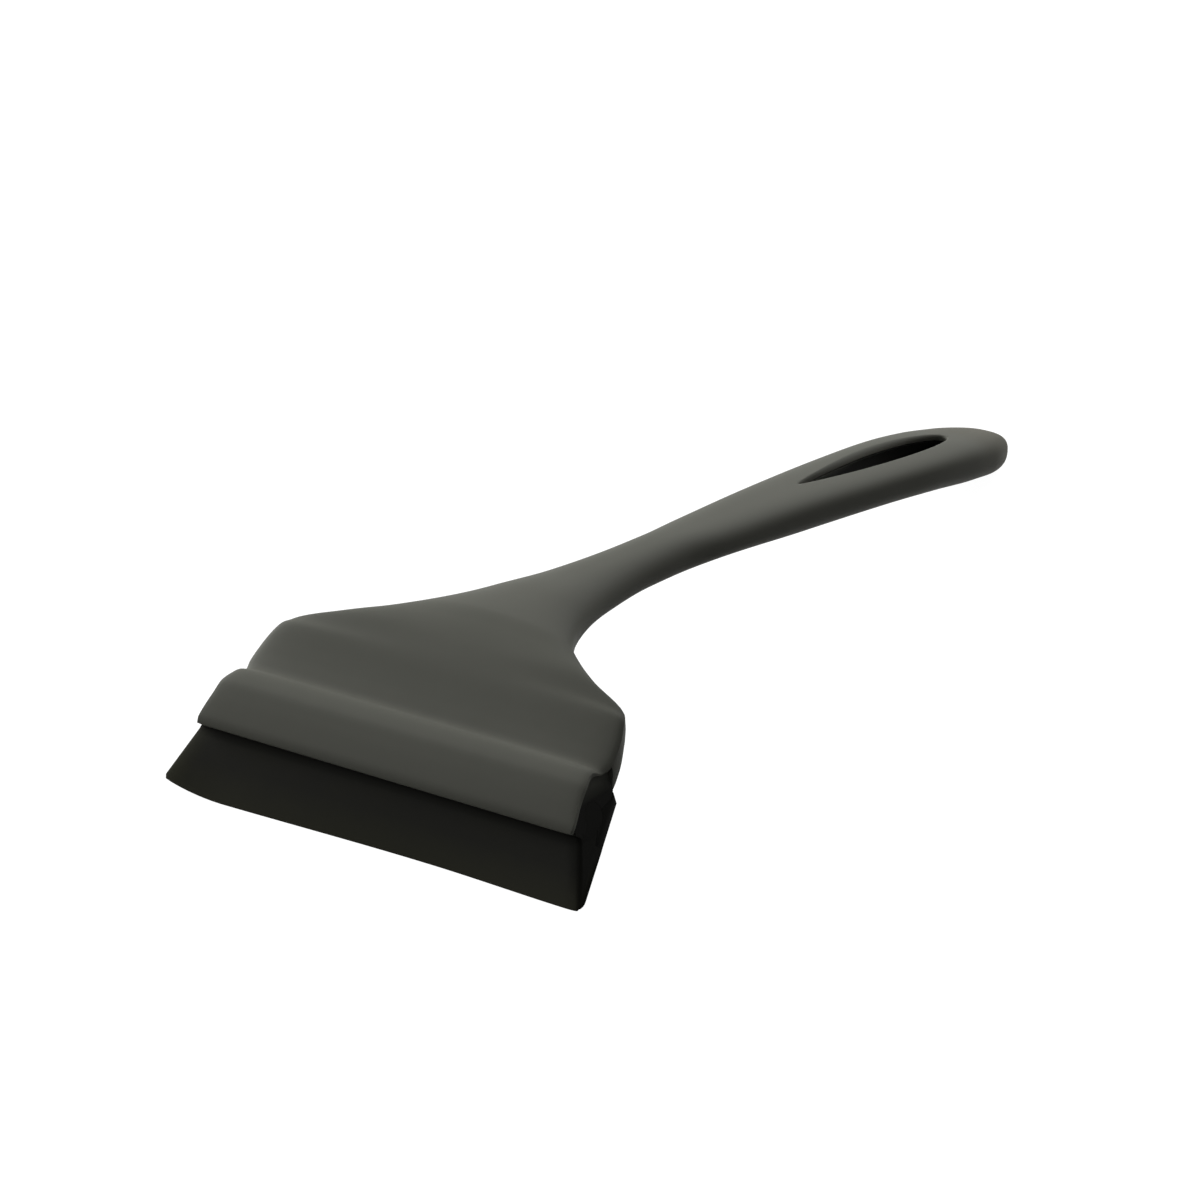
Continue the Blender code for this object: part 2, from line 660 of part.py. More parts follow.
def make_lip(parts, material, ends):
    """The bending part of the blade, from its edge on the table to the round that sits in the socket."""
    outline = [(0, 0), (EDGE_FLAT, 0), blade_point(FLEX_PLACE, face_across(FLEX_PLACE, 1))]
    rear, front = MIDDLE_ANGLE - math.pi / 2, MIDDLE_ANGLE + math.pi / 2
    outline += arc(blade_point(FLEX_PLACE, 0), FLEX_RADIUS, rear, front)
    outline.append(blade_point(FLEX_PLACE, face_across(FLEX_PLACE, -1)))
    lip = outline_bar("blade_lip", outline, BAR_HALF, ACROSS, parts, material)
    cut(lip, *ends)
    return lip


def new_empty(name, place, parent, collection):
    empty = bpy.data.objects.new(name, None)
    empty.empty_display_size = 0.01
    empty.location = place
    empty.parent = parent
    collection.objects.link(empty)
    return empty


def hang_on(piece, axis):
    """Gives a moving piece its joint's empty as parent, with its own origin there."""
    piece.data.transform(Matrix.Translation(-axis.location))
    piece.parent = axis


def main():
    clear_scene()
    parts = new_collection("hand_squeegee")
    cutters = new_collection("cutters")
    skin_finish = new_material("soft_touch_skin", SKIN_COLOUR, 0.62)
    frame_finish = new_material("black_nylon", FRAME_COLOUR, 0.5)
    rubber_finish = new_material("black_rubber", RUBBER_COLOUR, 0.7)
    steel_finish = new_material("steel", STEEL_COLOUR, 0.3, 1.0)

    ends = end_cutters(cutters)
    make_skin(parts, cutters, skin_finish)
    frame = make_frame(parts, cutters, frame_finish, ends)
    clamp = make_clamp(parts, cutters, frame_finish, ends)
    make_screws(parts, cutters, steel_finish, frame, clamp)
    root = make_root(parts, cutters, rubber_finish, ends)
    stiffener = make_stiffener(parts, steel_finish)
    lip = make_lip(parts, rubber_finish, ends)

    middle = new_empty("middle_of_squeegee", (0, -LENGTH / 2, 0), None, parts)
    for piece in list(parts.objects) + list(cutters.objects):
        if piece is not middle:
            piece.parent = middle
    slide_axis = new_empty("blade_slide_axis", (0, *blade_point(BEAD_PLACE, 0)), middle, parts)
    flex_axis = new_empty("blade_flex_axis", (0, *blade_point(FLEX_PLACE, 0)), middle, parts)
    hang_on(root, slide_axis)
    hang_on(stiffener, slide_axis)
    hang_on(lip, flex_axis)


main()
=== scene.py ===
"""The looks of the hand squeegee: its soft grey skin, black frame and rear jaw, rubber blade and screws.

Units are metres. X runs across the blade, +Y from the blade's edge to the tail, and +Z up from the table.
Places along the squeegee, called back, are counted from the blade's edge, and heights from the table.
"""

import math

import bmesh
import bpy
import numpy as np
from mathutils import Matrix, Vector


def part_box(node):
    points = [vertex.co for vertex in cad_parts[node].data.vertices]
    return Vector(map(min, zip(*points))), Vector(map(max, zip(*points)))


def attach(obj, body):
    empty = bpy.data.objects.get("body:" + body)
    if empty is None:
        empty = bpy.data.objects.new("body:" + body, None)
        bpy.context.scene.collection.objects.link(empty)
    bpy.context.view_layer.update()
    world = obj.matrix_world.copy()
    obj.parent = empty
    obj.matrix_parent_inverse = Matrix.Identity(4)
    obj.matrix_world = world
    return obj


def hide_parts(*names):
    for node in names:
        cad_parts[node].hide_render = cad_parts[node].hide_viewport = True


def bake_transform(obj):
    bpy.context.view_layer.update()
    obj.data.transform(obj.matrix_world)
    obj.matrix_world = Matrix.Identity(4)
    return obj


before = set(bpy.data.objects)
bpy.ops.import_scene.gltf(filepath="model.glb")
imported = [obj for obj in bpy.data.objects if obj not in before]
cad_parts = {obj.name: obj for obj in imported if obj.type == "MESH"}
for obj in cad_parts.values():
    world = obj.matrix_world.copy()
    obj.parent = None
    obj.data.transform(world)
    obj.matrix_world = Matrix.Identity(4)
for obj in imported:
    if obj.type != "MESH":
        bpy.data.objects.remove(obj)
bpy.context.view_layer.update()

# Overall sizes, from the frame, whose middle is half the squeegee's length behind the blade's edge
SKIN_LOW, SKIN_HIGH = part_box("soft_grip_skin")
EDGE_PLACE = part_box("blade_lip")[0].y
LENGTH = -2 * EDGE_PLACE
HOOD_WIDTH = SKIN_HIGH.x - SKIN_LOW.x

# Sizes that the solids share with these looks
EDGE_WIDTH = 0.1400
SEAT_GAP = 0.0003
SKIN_WALL = 0.0018
LIP_BACK = 0.0052
LIP_TOP = 0.0200
LIP_THICKNESS = 0.0020
RIDGE_BACK = 0.0200
RIDGE_WIDTH = 0.1210
RIDGE_TOP = 0.0311
HOOD_DEPTH = 0.0092
VALLEY_BACK = 0.0243
VALLEY_WIDTH = 0.1216
VALLEY_TOP = 0.0303
SHOULDER_BACK = 0.0376
SHOULDER_WIDTH = 0.1180
SHOULDER_TOP = 0.0397
PANEL_DEPTH = 0.0105
HOOD_SQUARENESS = 16.0
PANEL_SQUARENESS = 8.0
NECK_BACK = 0.0600
NECK_WIDTH = 0.0536
NECK_TOP = 0.0490
NECK_DEPTH = 0.0094
NECK_FALL = 0.0022
WAIST_BACK = 0.1450
WAIST_WIDTH = 0.0184
WAIST_TOP = 0.0410
WAIST_DEPTH = 0.0111
GRIP_BACK = 0.2808
GRIP_WIDTH = 0.0316
GRIP_TOP = 0.0228
GRIP_DEPTH = 0.0137
TAIL_WIDTH = 0.0262
TAIL_TOP = 0.0113
TAIL_ROUND = 0.0240
TAIL_BLUNTNESS = 3.0

# The body between those places. Each row gives shares of the way from one place to the next, for the place,
# the width and the height of the top. Then come shares of the depth there, for the part above the widest line
# and the part below it, the squareness of both, and a share of the neck's fall to the sides.
HOOD_ROWS = (
    (0.19, 0.18, 0.29, 0.24, 0.24, HOOD_SQUARENESS, HOOD_SQUARENESS, 0),
    (0.43, 0.45, 0.62, 0.35, 0.35, HOOD_SQUARENESS, HOOD_SQUARENESS, 0),
    (0.66, 0.60, 0.87, 0.43, 0.43, HOOD_SQUARENESS, HOOD_SQUARENESS, 0),
    (1.00, 1.00, 1.00, 0.50, 0.50, HOOD_SQUARENESS, HOOD_SQUARENESS, 0),
)
PANEL_ROWS = (
    (0.00, 0.00, 0.00, 0.48, 0.48, PANEL_SQUARENESS, PANEL_SQUARENESS, 0),
    (0.28, -0.45, 0.22, 0.50, 0.65, PANEL_SQUARENESS, PANEL_SQUARENESS, 0.12),
    (0.58, -0.15, 0.535, 0.50, 0.58, PANEL_SQUARENESS, PANEL_SQUARENESS, 0.10),
    (1.00, 1.00, 1.00, 0.50, 0.50, PANEL_SQUARENESS, PANEL_SQUARENESS, 0),
)
FAN_ROWS = (
    (0.161, 0.071, 0.256, 0.53, 0.53, 7.0, 7.0, 0.577),
    (0.388, 0.470, 0.559, 0.50, 0.50, 5.0, 5.0, 0.00),
    (0.688, 0.770, 0.835, 0.50, 0.50, 4.4, 4.4, 0.60),
    (1.000, 1.000, 1.000, 0.50, 0.50, 4.0, 4.0, 1.00),
)
WAIST_ROWS = (
    (0.224, 0.511, 0.106, 0.47, 0.51, 3.0, 3.0, 0.73),
    (0.484, 0.807, 0.438, 0.49, 0.50, 2.6, 2.6, 0.23),
    (0.799, 0.977, 0.788, 0.48, 0.51, 2.5, 2.4, 0),
    (1.000, 1.000, 1.000, 0.50, 0.49, 2.6, 2.4, 0),
)
GRIP_ROWS = (
    (0.147, 0.212, 0.140, 0.37, 0.40, 2.8, 2.4, 0),
    (0.449, 0.515, 0.407, 0.37, 0.53, 3.2, 2.4, 0),
    (0.789, 0.864, 0.761, 0.36, 0.58, 3.4, 2.4, 0),
    (1.000, 1.000, 1.000, 0.37, 0.63, 3.4, 2.4, 0),
)
TAIL_ROWS = (
    (0.330, 0.222, 0.278, 0.40, 0.66, 3.2, 2.4, 0),
    (0.620, 0.852, 0.591, 0.41, 0.63, 3.0, 2.4, 0),
    (0.821, 1.222, 0.817, 0.41, 0.63, 2.8, 2.4, 0),
    (1.000, 1.000, 1.000, 0.41, 0.61, 2.6, 2.4, 0),
)

# The slot, the blade, the jaws and the screws
SLOT_TAIL = 0.0320
SLOT_LENGTH = 0.0840
SLOT_WIDTH = 0.0104
SLOT_SKEW = 1.6
SLOT_FULLNESS = 0.42
FRONT_ANGLE = math.radians(66.0)
REAR_ANGLE = math.radians(36.5)
EDGE_FLAT = 0.0015
ROOT_PLACE = 0.0176
NECK_THICKNESS = 0.0040
BEAD_PLACE = 0.0255
BEAD_RADIUS = 0.0035
FLEX_PLACE = 0.0120
FLEX_REACH = 0.0048
END_LEAN = math.radians(19.5)
CLAMP_CORNER_BACK = 0.0275
CLAMP_END_BACK = 0.0367
FLANGE_ANGLE = math.radians(45.0)
FLANGE_THICKNESS = 0.0022
FLANGE_END_INSET = 0.0068
RIM_WIDTH = 0.0012
SCREW_END_INSET = 0.0150
SCREW_INSET = 0.0032
SCREW_RADIUS = 0.00145
SCREW_LENGTH = 0.0058
SCREW_HEAD_RADIUS = 0.0028
SCREW_HEAD_HEIGHT = 0.0018
SCREW_COUNT = 3

# Shares of the screw's head: its flat top, its upright rim, and its cross recess
HEAD_TOP_SHARE = 0.45
HEAD_RIM_SHARE = 0.3
RECESS_ARM_SHARE = 0.62
RECESS_WIDTH_SHARE = 0.11
RECESS_DEPTH_SHARE = 0.6

# Forms that only the looks have: rounded rims, and how the soft rubber rolls, bows and curls
SLOT_ROUND = 0.0010
SLOT_FLARE_START = 80
SLOT_FLARE_STEP = 20
LIP_END_HEIGHT = 0.03
FAR_RIM_SHARE = 2.4
JAW_ROUND = 0.00010
BLADE_ROUND = 0.00010
BLADE_FIT = 0.00006
END_ROUND_REACH = 0.0040
RIGHT_ROUND_DEPTH = 0.0020
LEFT_ROUND_DEPTH = 0.0006
LEFT_TIP_RISE = 0.0026
LEFT_TIP_REACH = 0.0200
TIP_ROUND = 0.0016
WARP_REACH = 0.0165
BOW_MIDDLE = 0.3
LEFT_BOW = 0.0022
RIGHT_BOW = 0.0012
END_SPARE = 0.0005
ROLL_SHARE = 0.75

# How finely the shapes are drawn
RING_HALF = 18
HEAD_STEP = 0.0008
HANDLE_STEP = 0.0022
TAIL_STEPS = 18
SLOT_STEPS = 36
ARC_STEP = math.radians(6.0)
FACE_STEP = 0.0008
BLADE_RINGS = 130
LAST_RING = 0.9985
SLOPE_STEP = 0.0005
CORNER_STEPS = 4
HEAD_CURVE_STEPS = 8
SCREW_STEPS = 48
SOFTEN_SEGMENTS = 3
SOFTEN_ANGLE = math.radians(28)
CREASE_ANGLE = math.radians(38)
BLADE_CREASE_ANGLE = math.radians(50)
GENTLE_BEND = math.radians(80)
WELD = 0.000001
OVERSHOOT = 0.0060
DEEP = 0.0300

# The camera: the angles it looks from in degrees, its distance, where the middle of the blade's edge falls
# in the picture, and its lens
CAMERA_AZIMUTH = 34.042
CAMERA_ELEVATION = 23.904
CAMERA_ROLL = 0.050
CAMERA_DISTANCE = 1.64894
EDGE_MIDDLE_IN_PHOTO = (370.093, 846.276)
PHOTO_WIDTH = 1200
FOCAL_PIXELS = 6000
SENSOR_WIDTH = 36

# The lights, each with its place and its watts, all of one size and turned to the squeegee
SOFTBOX_SIZE = 0.9
LIGHTS = {
    "left_softbox": ((-1.3, 0, 0.6), 26),
    "back_softbox": ((-0.3, 1.5, 0.6), 1.5),
    "top_softbox": ((0, 0.9, 1.0), 8),
    "front_fill": ((-0.7, -1.2, 0.7), 3),
}
WORLD_LEVEL = 0.08
FLOOR_GLOW = 0.985
FLOOR_REACH = 6.0

# The colours of the surfaces, and how much they reflect
WHITE = (1, 1, 1, 1)
FLOOR_COLOUR = (0.15, 0.15, 0.15, 1)
SKIN_COLOUR = (0.096, 0.098, 0.083, 1)
SKIN_WORN = (0.110, 0.111, 0.095, 1)
SKIN_TANNED = (0.104, 0.096, 0.072, 1)
FRAME_COLOUR = (0.008, 0.008, 0.007, 1)
RUBBER_COLOUR = (0.027, 0.027, 0.025, 1)
RUBBER_OLIVE = (0.043, 0.043, 0.031, 1)
STEEL_COLOUR = (0.55, 0.55, 0.54, 1)
SKIN_SHINE = 0.06
BLACK_SHINE = 0.02
STEEL_SHINE = 0.5

# Where the finishes and the painted shade on the blade change, as heights and reaches from the ends
FILM_LOW = 0.0235
FILM_HIGH = 0.0290
EDGE_TINT_TOP = 0.0090
END_TINT_REACH = 0.0060
# How far in from the blade's right end the painted shade on its end face reaches
END_SHADE_DEPTH = 0.0012
TAIL_TINT_START = 0.1350
# Heights on the blade between which the painted shade under the hood's lip sets in
HOOD_SHADE_LOW = 0.0145
HOOD_SHADE_HIGH = 0.0175

# Worked out from the sizes above
SLOT_START = LENGTH - SLOT_TAIL - SLOT_LENGTH
FLANGE_HALF = HOOD_WIDTH / 2 - FLANGE_END_INSET
SCREW_SPACING = FLANGE_HALF - SCREW_END_INSET
MIDDLE_ANGLE = (FRONT_ANGLE + REAR_ANGLE) / 2
HALF_WEDGE = (FRONT_ANGLE - REAR_ANGLE) / 2
SKIN_OPEN_BACK = CLAMP_END_BACK + SEAT_GAP + RIM_WIDTH
BAR_HALF = EDGE_WIDTH / 2 + OVERSHOOT

# What the blade's shape and the row of screws follow, by the names of their trees' inputs
BLADE_SIZES = {
    "Edge width": EDGE_WIDTH,
    "Lean": math.tan(END_LEAN),
    "Tip rise": LEFT_TIP_RISE,
    "Tip reach": LEFT_TIP_REACH,
    "Tip round": TIP_ROUND,
    "Bow middle": BOW_MIDDLE,
    "Left bow": LEFT_BOW,
    "Right bow": RIGHT_BOW,
    "Round reach": END_ROUND_REACH,
    "Left round": LEFT_ROUND_DEPTH,
    "Right round": RIGHT_ROUND_DEPTH,
}
SCREW_SIZES = {"Count": SCREW_COUNT, "Spacing": SCREW_SPACING}

# Places of an outline of back and height, of one of across and height, and of one of across and back
ACROSS = Matrix(((0, 0, 1, 0), (1, 0, 0, EDGE_PLACE), (0, 1, 0, 0), (0, 0, 0, 1)))
ALONG = Matrix(((1, 0, 0, 0), (0, 0, 1, 0), (0, 1, 0, 0), (0, 0, 0, 1)))


class Value:
    """A number that changes over a surface or a shape: maths on it adds the nodes that work it out."""

    def __init__(self, tree, socket):
        self.tree = tree
        self.socket = socket

    def maths(self, operation, *others):
        return node(self.tree, "ShaderNodeMath", {"operation": operation}, self, *others)

    def __add__(self, other):
        return self.maths("ADD", other)

    __radd__ = __add__

    def __sub__(self, other):
        return self.maths("SUBTRACT", other)

    def __rsub__(self, other):
        return node(self.tree, "ShaderNodeMath", {"operation": "SUBTRACT"}, other, self)

    def __mul__(self, other):
        return self.maths("MULTIPLY", other)

    __rmul__ = __mul__

    def __truediv__(self, other):
        return self.maths("DIVIDE", other)

    def __abs__(self):
        return self.maths("ABSOLUTE")

    def at_most(self, other):
        return self.maths("MINIMUM", other)

    def at_least(self, other):
        return self.maths("MAXIMUM", other)

    def clamped(self):
        return self.at_least(0).at_most(1)

    def root(self):
        return self.maths("SQRT")


def node(tree, kind, settings=None, *values, out=0, **named):
    """Adds a node: its settings first, then its sockets, given in order or by name, as numbers or links."""
    made = tree.nodes.new(kind)
    for name, setting in (settings or {}).items():
        setattr(made, name, setting)
    pairs = list(zip(made.inputs, values))
    pairs += [(made.inputs[name.replace("_", " ")], value) for name, value in named.items()]
    for socket, value in pairs:
        if isinstance(value, Value):
            tree.links.new(value.socket, socket)
        elif value is not None:
            socket.default_value = value
    return Value(tree, made.outputs[out])


def surface(name, colour, roughness, shine, metallic=0.0):
    """A new material with its shader, and the place on the object that its patterns read."""
    material = bpy.data.materials.new(name)
    material.use_nodes = True
    tree = material.node_tree
    shader = tree.nodes["Principled BSDF"]
    shader.inputs["Base Color"].default_value = colour
    shader.inputs["Roughness"].default_value = roughness
    shader.inputs["Specular IOR Level"].default_value = shine
    shader.inputs["Metallic"].default_value = metallic
    place = node(tree, "ShaderNodeTexCoord", out="Object")
    return material, tree, shader, place


def link(tree, value, shader, socket):
    """Lets a pattern drive one of the shader's sockets."""
    tree.links.new(value.socket, shader.inputs[socket])


def grain(tree, place, scale, detail=2.0):
    """A fine random pattern, about half on average."""
    return node(tree, "ShaderNodeTexNoise", None, Vector=place, Scale=scale, Detail=detail)


def blend_colours(tree, mask, first, second):
    """From the first colour to the second, as the mask goes from 0 to 1."""
    sockets_of_numbers_and_vectors = [None] * 5
    colours = (*sockets_of_numbers_and_vectors, first, second)
    return node(tree, "ShaderNodeMix", {"data_type": "RGBA"}, mask, *colours, out=2)


def axis(tree, place, letter):
    """How far a place is along an axis."""
    return node(tree, "ShaderNodeSeparateXYZ", None, place, out=letter)


def ramp(value, start, end):
    """0 at the start and 1 at the end, and straight between them."""
    return ((value - start) / (end - start)).clamped()


def raised(tree, height, strength, distance):
    """The fine relief of a pattern."""
    return node(tree, "ShaderNodeBump", None, Height=height, Strength=strength, Distance=distance)


def soft_skin():
    """Matt soft-touch rubber: a fine even tooth, with faint cloudy patches where it has been handled, and a
    little browner at the tail, where it rubs on its hook."""
    material, tree, shader, place = surface("soft_touch_skin", SKIN_COLOUR, 0.6, SKIN_SHINE)
    clouds = grain(tree, place, scale=60, detail=3)
    tooth = grain(tree, place, scale=2600)
    handled = blend_colours(tree, clouds, SKIN_COLOUR, SKIN_WORN)
    near_tail = ramp(axis(tree, place, "Y"), TAIL_TINT_START, LENGTH / 2) * (0.5 + clouds * 0.5)
    link(tree, blend_colours(tree, near_tail, handled, SKIN_TANNED), shader, "Base Color")
    link(tree, 0.56 + clouds * 0.1, shader, "Roughness")
    link(tree, raised(tree, tooth, strength=0.25, distance=0.00006), shader, "Normal")
    return material


def frame_plastic():
    """Black moulded nylon with a fine spark-eroded grain. A thin film of the soft skin runs over its ends."""
    material, tree, shader, place = surface("black_nylon", FRAME_COLOUR, 0.5, BLACK_SHINE)
    tooth = grain(tree, place, scale=1500, detail=3)
    film = ramp(axis(tree, place, "Z"), FILM_LOW, FILM_HIGH)
    link(tree, blend_colours(tree, film, FRAME_COLOUR, SKIN_COLOUR), shader, "Base Color")
    link(tree, 0.42 + tooth * 0.16, shader, "Roughness")
    link(tree, raised(tree, tooth, strength=0.3, distance=0.00005), shader, "Normal")
    return material


def blade_rubber():
    """Dull black rubber, olive near its edge and its left end, with painted shade that makes it blacker at
    its right end face and under the hood's lip."""
    material, tree, shader, place = surface("blade_rubber", RUBBER_COLOUR, 0.6, BLACK_SHINE)
    across = axis(tree, place, "X")
    height = axis(tree, place, "Z")
    clouds = grain(tree, place, scale=90, detail=4)
    tooth = grain(tree, place, scale=900, detail=3)
    near_edge = ramp(height, EDGE_TINT_TOP, 0)
    tip = EDGE_WIDTH / 2
    lean = height * math.tan(END_LEAN)
    near_end = ramp(lean - across, tip - END_TINT_REACH, tip)
    olive = (near_edge * 0.7 + near_end * 0.6 + clouds * 0.4).at_most(1)
    aged = blend_colours(tree, olive, RUBBER_COLOUR, RUBBER_OLIVE)
    # Painted shade on the blade's right end face
    end_shade = ramp(lean + across, tip - END_SHADE_DEPTH, tip - END_SHADE_DEPTH / 6)
    # Painted shade: the rubber under the hood's lip and at its right end face turns towards the frame's black
    painted_shade = (ramp(height, HOOD_SHADE_LOW, HOOD_SHADE_HIGH) + end_shade * 0.8).at_most(1)
    link(tree, blend_colours(tree, painted_shade, aged, FRAME_COLOUR), shader, "Base Color")
    link(tree, 0.52 + clouds * 0.16, shader, "Roughness")
    link(tree, raised(tree, tooth, strength=0.2, distance=0.00005), shader, "Normal")
    return material


def screw_steel():
    """Plain steel with fine turning marks."""
    material, tree, shader, place = surface("plain_steel", STEEL_COLOUR, 0.3, STEEL_SHINE, metallic=1.0)
    marks = grain(tree, place, scale=1800)
    link(tree, 0.24 + marks * 0.16, shader, "Roughness")
    return material


def body_rows():
    """Rows along the body: back, half width, top, rise of the top over the widest line, depth of the
    underside below it, squareness of the upper half, squareness of the lower half, fall to the sides."""
    lip = (LIP_BACK, HOOD_WIDTH / 2, LIP_TOP)
    ridge = (RIDGE_BACK, RIDGE_WIDTH / 2, RIDGE_TOP)
    valley = (VALLEY_BACK, VALLEY_WIDTH / 2, VALLEY_TOP)
    shoulder = (SHOULDER_BACK, SHOULDER_WIDTH / 2, SHOULDER_TOP)
    neck = (NECK_BACK, NECK_WIDTH / 2, NECK_TOP)
    waist = (WAIST_BACK, WAIST_WIDTH / 2, WAIST_TOP)
    grip = (GRIP_BACK, GRIP_WIDTH / 2, GRIP_TOP)
    tail = (LENGTH, TAIL_WIDTH / 2, TAIL_TOP)
    stretches = (
        (lip, ridge, HOOD_DEPTH, HOOD_ROWS),
        (valley, shoulder, PANEL_DEPTH, PANEL_ROWS),
        (shoulder, neck, NECK_DEPTH, FAN_ROWS),
        (neck, waist, WAIST_DEPTH, WAIST_ROWS),
        (waist, grip, GRIP_DEPTH, GRIP_ROWS),
        (grip, tail, GRIP_DEPTH, TAIL_ROWS),
    )
    rows = [(*lip, LIP_THICKNESS / 2, LIP_THICKNESS / 2, HOOD_SQUARENESS, HOOD_SQUARENESS, 0)]
    for start, end, thickness, table in stretches:
        for back, width, top, rise, depth, square_up, square_down, fall in table:
            place = [a + share * (b - a) for a, b, share in zip(start, end, (back, width, top))]
            form = (rise * thickness, depth * thickness, square_up, square_down, fall * NECK_FALL)
            rows.append((*place, *form))
    return rows


def smooth(places, values, at):
    """A smooth curve through the values that never swings past them."""
    steps = np.diff(places)
    slopes = np.diff(values) / steps
    tangents = np.zeros(len(values))
    for k in range(1, len(values) - 1):
        before, after = slopes[k - 1], slopes[k]
        if before * after > 0:
            weight = 2 * steps[k] + steps[k - 1]
            other = steps[k] + 2 * steps[k - 1]
            tangents[k] = (weight + other) / (weight / before + other / after)
    tangents[0], tangents[-1] = slopes[0], slopes[-1]
    k = int(np.clip(np.searchsorted(places, at) - 1, 0, len(steps) - 1))
    t = (at - places[k]) / steps[k]
    rise = values[k] + (3 * t**2 - 2 * t**3) * (values[k + 1] - values[k])
    lean = (t**3 - 2 * t**2 + t) * tangents[k] + (t**3 - t**2) * tangents[k + 1]
    return rise + lean * steps[k]


ROWS = np.array(body_rows())


def body_values(back):
    """The body's row of values at any place along it."""
    return [smooth(ROWS[:, 0], ROWS[:, column], back) for column in range(1, ROWS.shape[1])]


def steepness(back, edge):
    """How much longer an upright wall cuts than a square one, where the surface climbs."""
    heights = []
    for place in (back - SLOPE_STEP, back + SLOPE_STEP):
        _, top, rise, depth, _, _, _ = body_values(place)
        heights.append(top - (rise + depth) * edge)
    return math.hypot(1, (heights[1] - heights[0]) / (2 * SLOPE_STEP))


def round_end(back, inset):
    """How far the section has closed in the round of the tail and of the hood's lip: shares of its width
    and of its height."""
    round_start = LENGTH - TAIL_ROUND
    if back > round_start:
        along = min(1, (back - round_start) / (TAIL_ROUND - inset))
        return math.sqrt(1 - along**2), (1 - along**TAIL_BLUNTNESS) ** (1 / TAIL_BLUNTNESS)
    lip = LIP_THICKNESS / 2
    if back < LIP_BACK + lip and not inset:
        along = 1 - (back - LIP_BACK) / lip
        return 1 - lip / HOOD_WIDTH * along**2, math.sqrt(1 + LIP_END_HEIGHT - along**2)
    return 1, 1


def body_section(back, inset=0.0, half_width=None, floor=None, skin_below=True):
    """One ring round the body. An inset draws it inside the skin; a half width or a floor replaces the
    body's own, where the skin is open; without skin below, the underside keeps its own depth."""
    own_half, top, rise, depth, square_up, square_down, fall = body_values(back)
    widest = top - rise
    if inset:
        rise -= inset * steepness(back, 0)
        if skin_below:
            depth -= inset * steepness(back, 1)
    half = (own_half - inset) if half_width is None else half_width
    width_share, height_share = round_end(back, inset)
    half, rise, depth = half * width_share, rise * height_share, depth * height_share
    ring = []
    for k in range(-RING_HALF, RING_HALF):
        across = math.sin(math.pi / 2 * k / RING_HALF)
        swell = (1 - abs(across) ** square_up) ** (1 / square_up)
        ring.append((across * half, back + EDGE_PLACE, widest - fall * across**2 + swell * rise))
    for k in range(-RING_HALF, RING_HALF):
        across = -math.sin(math.pi / 2 * k / RING_HALF)
        swell = (1 - abs(across) ** square_down) ** (1 / square_down)
        height = widest - fall * across**2 - swell * depth
        if floor is not None and k > -RING_HALF:
            across = -k / (RING_HALF - 1)
            height = floor
        ring.append((across * half, back + EDGE_PLACE, height))
    return ring


def stations(start, end, coarse=1):
    """Places of the rings from start to end: close in the head, wider apart in the handle, and drawn
    together in the round of the tail."""
    round_start = LENGTH - TAIL_ROUND
    head = [row for row in ROWS[:, 0] if start < row < NECK_BACK]
    places = [start] + head + [NECK_BACK]
    fine = []
    for low, high in zip(places[:-1], places[1:]):
        count = max(1, round((high - low) / (HEAD_STEP * coarse)))
        fine += [low + (high - low) * k / count for k in range(count)]
    count = round((round_start - NECK_BACK) / (HANDLE_STEP * coarse))
    fine += [NECK_BACK + (round_start - NECK_BACK) * k / count for k in range(count)]
    reach = end - round_start
    steps = round(TAIL_STEPS / coarse)
    fine += [round_start + reach * math.sin(math.pi / 2 * k / steps) for k in range(steps)]
    return fine + [round_start + LAST_RING * reach]


def blade_point(along, across):
    """A point given along the blade's middle line and across it, towards the rear, as back and height."""
    back = EDGE_FLAT / 2 + along * math.cos(MIDDLE_ANGLE) + across * math.sin(MIDDLE_ANGLE)
    height = along * math.sin(MIDDLE_ANGLE) - across * math.cos(MIDDLE_ANGLE)
    return back, height


def face_across(along, side):
    """How far the front face (side -1) or rear face (side 1) lies from the middle line."""
    edge_along = side * EDGE_FLAT / 2 * math.cos(MIDDLE_ANGLE)
    edge_across = EDGE_FLAT / 2 * math.sin(MIDDLE_ANGLE)
    return side * (edge_across + (along - edge_along) * math.tan(HALF_WEDGE))


def arc(centre, radius, start, end):
    """Points on a round stretch, from one angle to another, ends included."""
    count = max(2, round(abs(end - start) / ARC_STEP))
    angles = [start + (end - start) * k / count for k in range(count + 1)]
    return [(centre[0] + radius * math.cos(a), centre[1] + radius * math.sin(a)) for a in angles]


def new_piece(name, mesh, material):
    """A mesh put into the scene, at the origin."""
    piece = bpy.data.objects.new(name, mesh)
    bpy.context.scene.collection.objects.link(piece)
    if material:
        mesh.materials.clear()
        mesh.materials.append(material)
    return piece


def mesh_from(shape, name):
    """The drawn shape as a mesh."""
    mesh = bpy.data.meshes.new(name)
    shape.to_mesh(mesh)
    shape.free()
    return mesh


def loft(name, rings, material=None):
    """A closed skin through rings of equally many points."""
    shape = bmesh.new()
    loops = [[shape.verts.new(point) for point in ring] for ring in rings]
    for first, second in zip(loops[:-1], loops[1:]):
        for k in range(len(first)):
            after = (k + 1) % len(first)
            shape.faces.new((first[k], first[after], second[after], second[k]))
    shape.faces.new(loops[0][::-1])
    shape.faces.new(loops[-1])
    bmesh.ops.recalc_face_normals(shape, faces=shape.faces)
    return new_piece(name, mesh_from(shape, name), material)


def flat_curve(name, outline):
    """A closed flat outline as a curve."""
    curve = bpy.data.curves.new(name, "CURVE")
    curve.dimensions = "2D"
    curve.fill_mode = "NONE"
    spline = curve.splines.new("POLY")
    spline.points.add(len(outline) - 1)
    for point, place in zip(spline.points, outline):
        point.co = (place[0], place[1], 0, 1)
    spline.use_cyclic_u = True
    guide = bpy.data.objects.new(name, curve)
    bpy.context.scene.collection.objects.link(guide)
    return guide


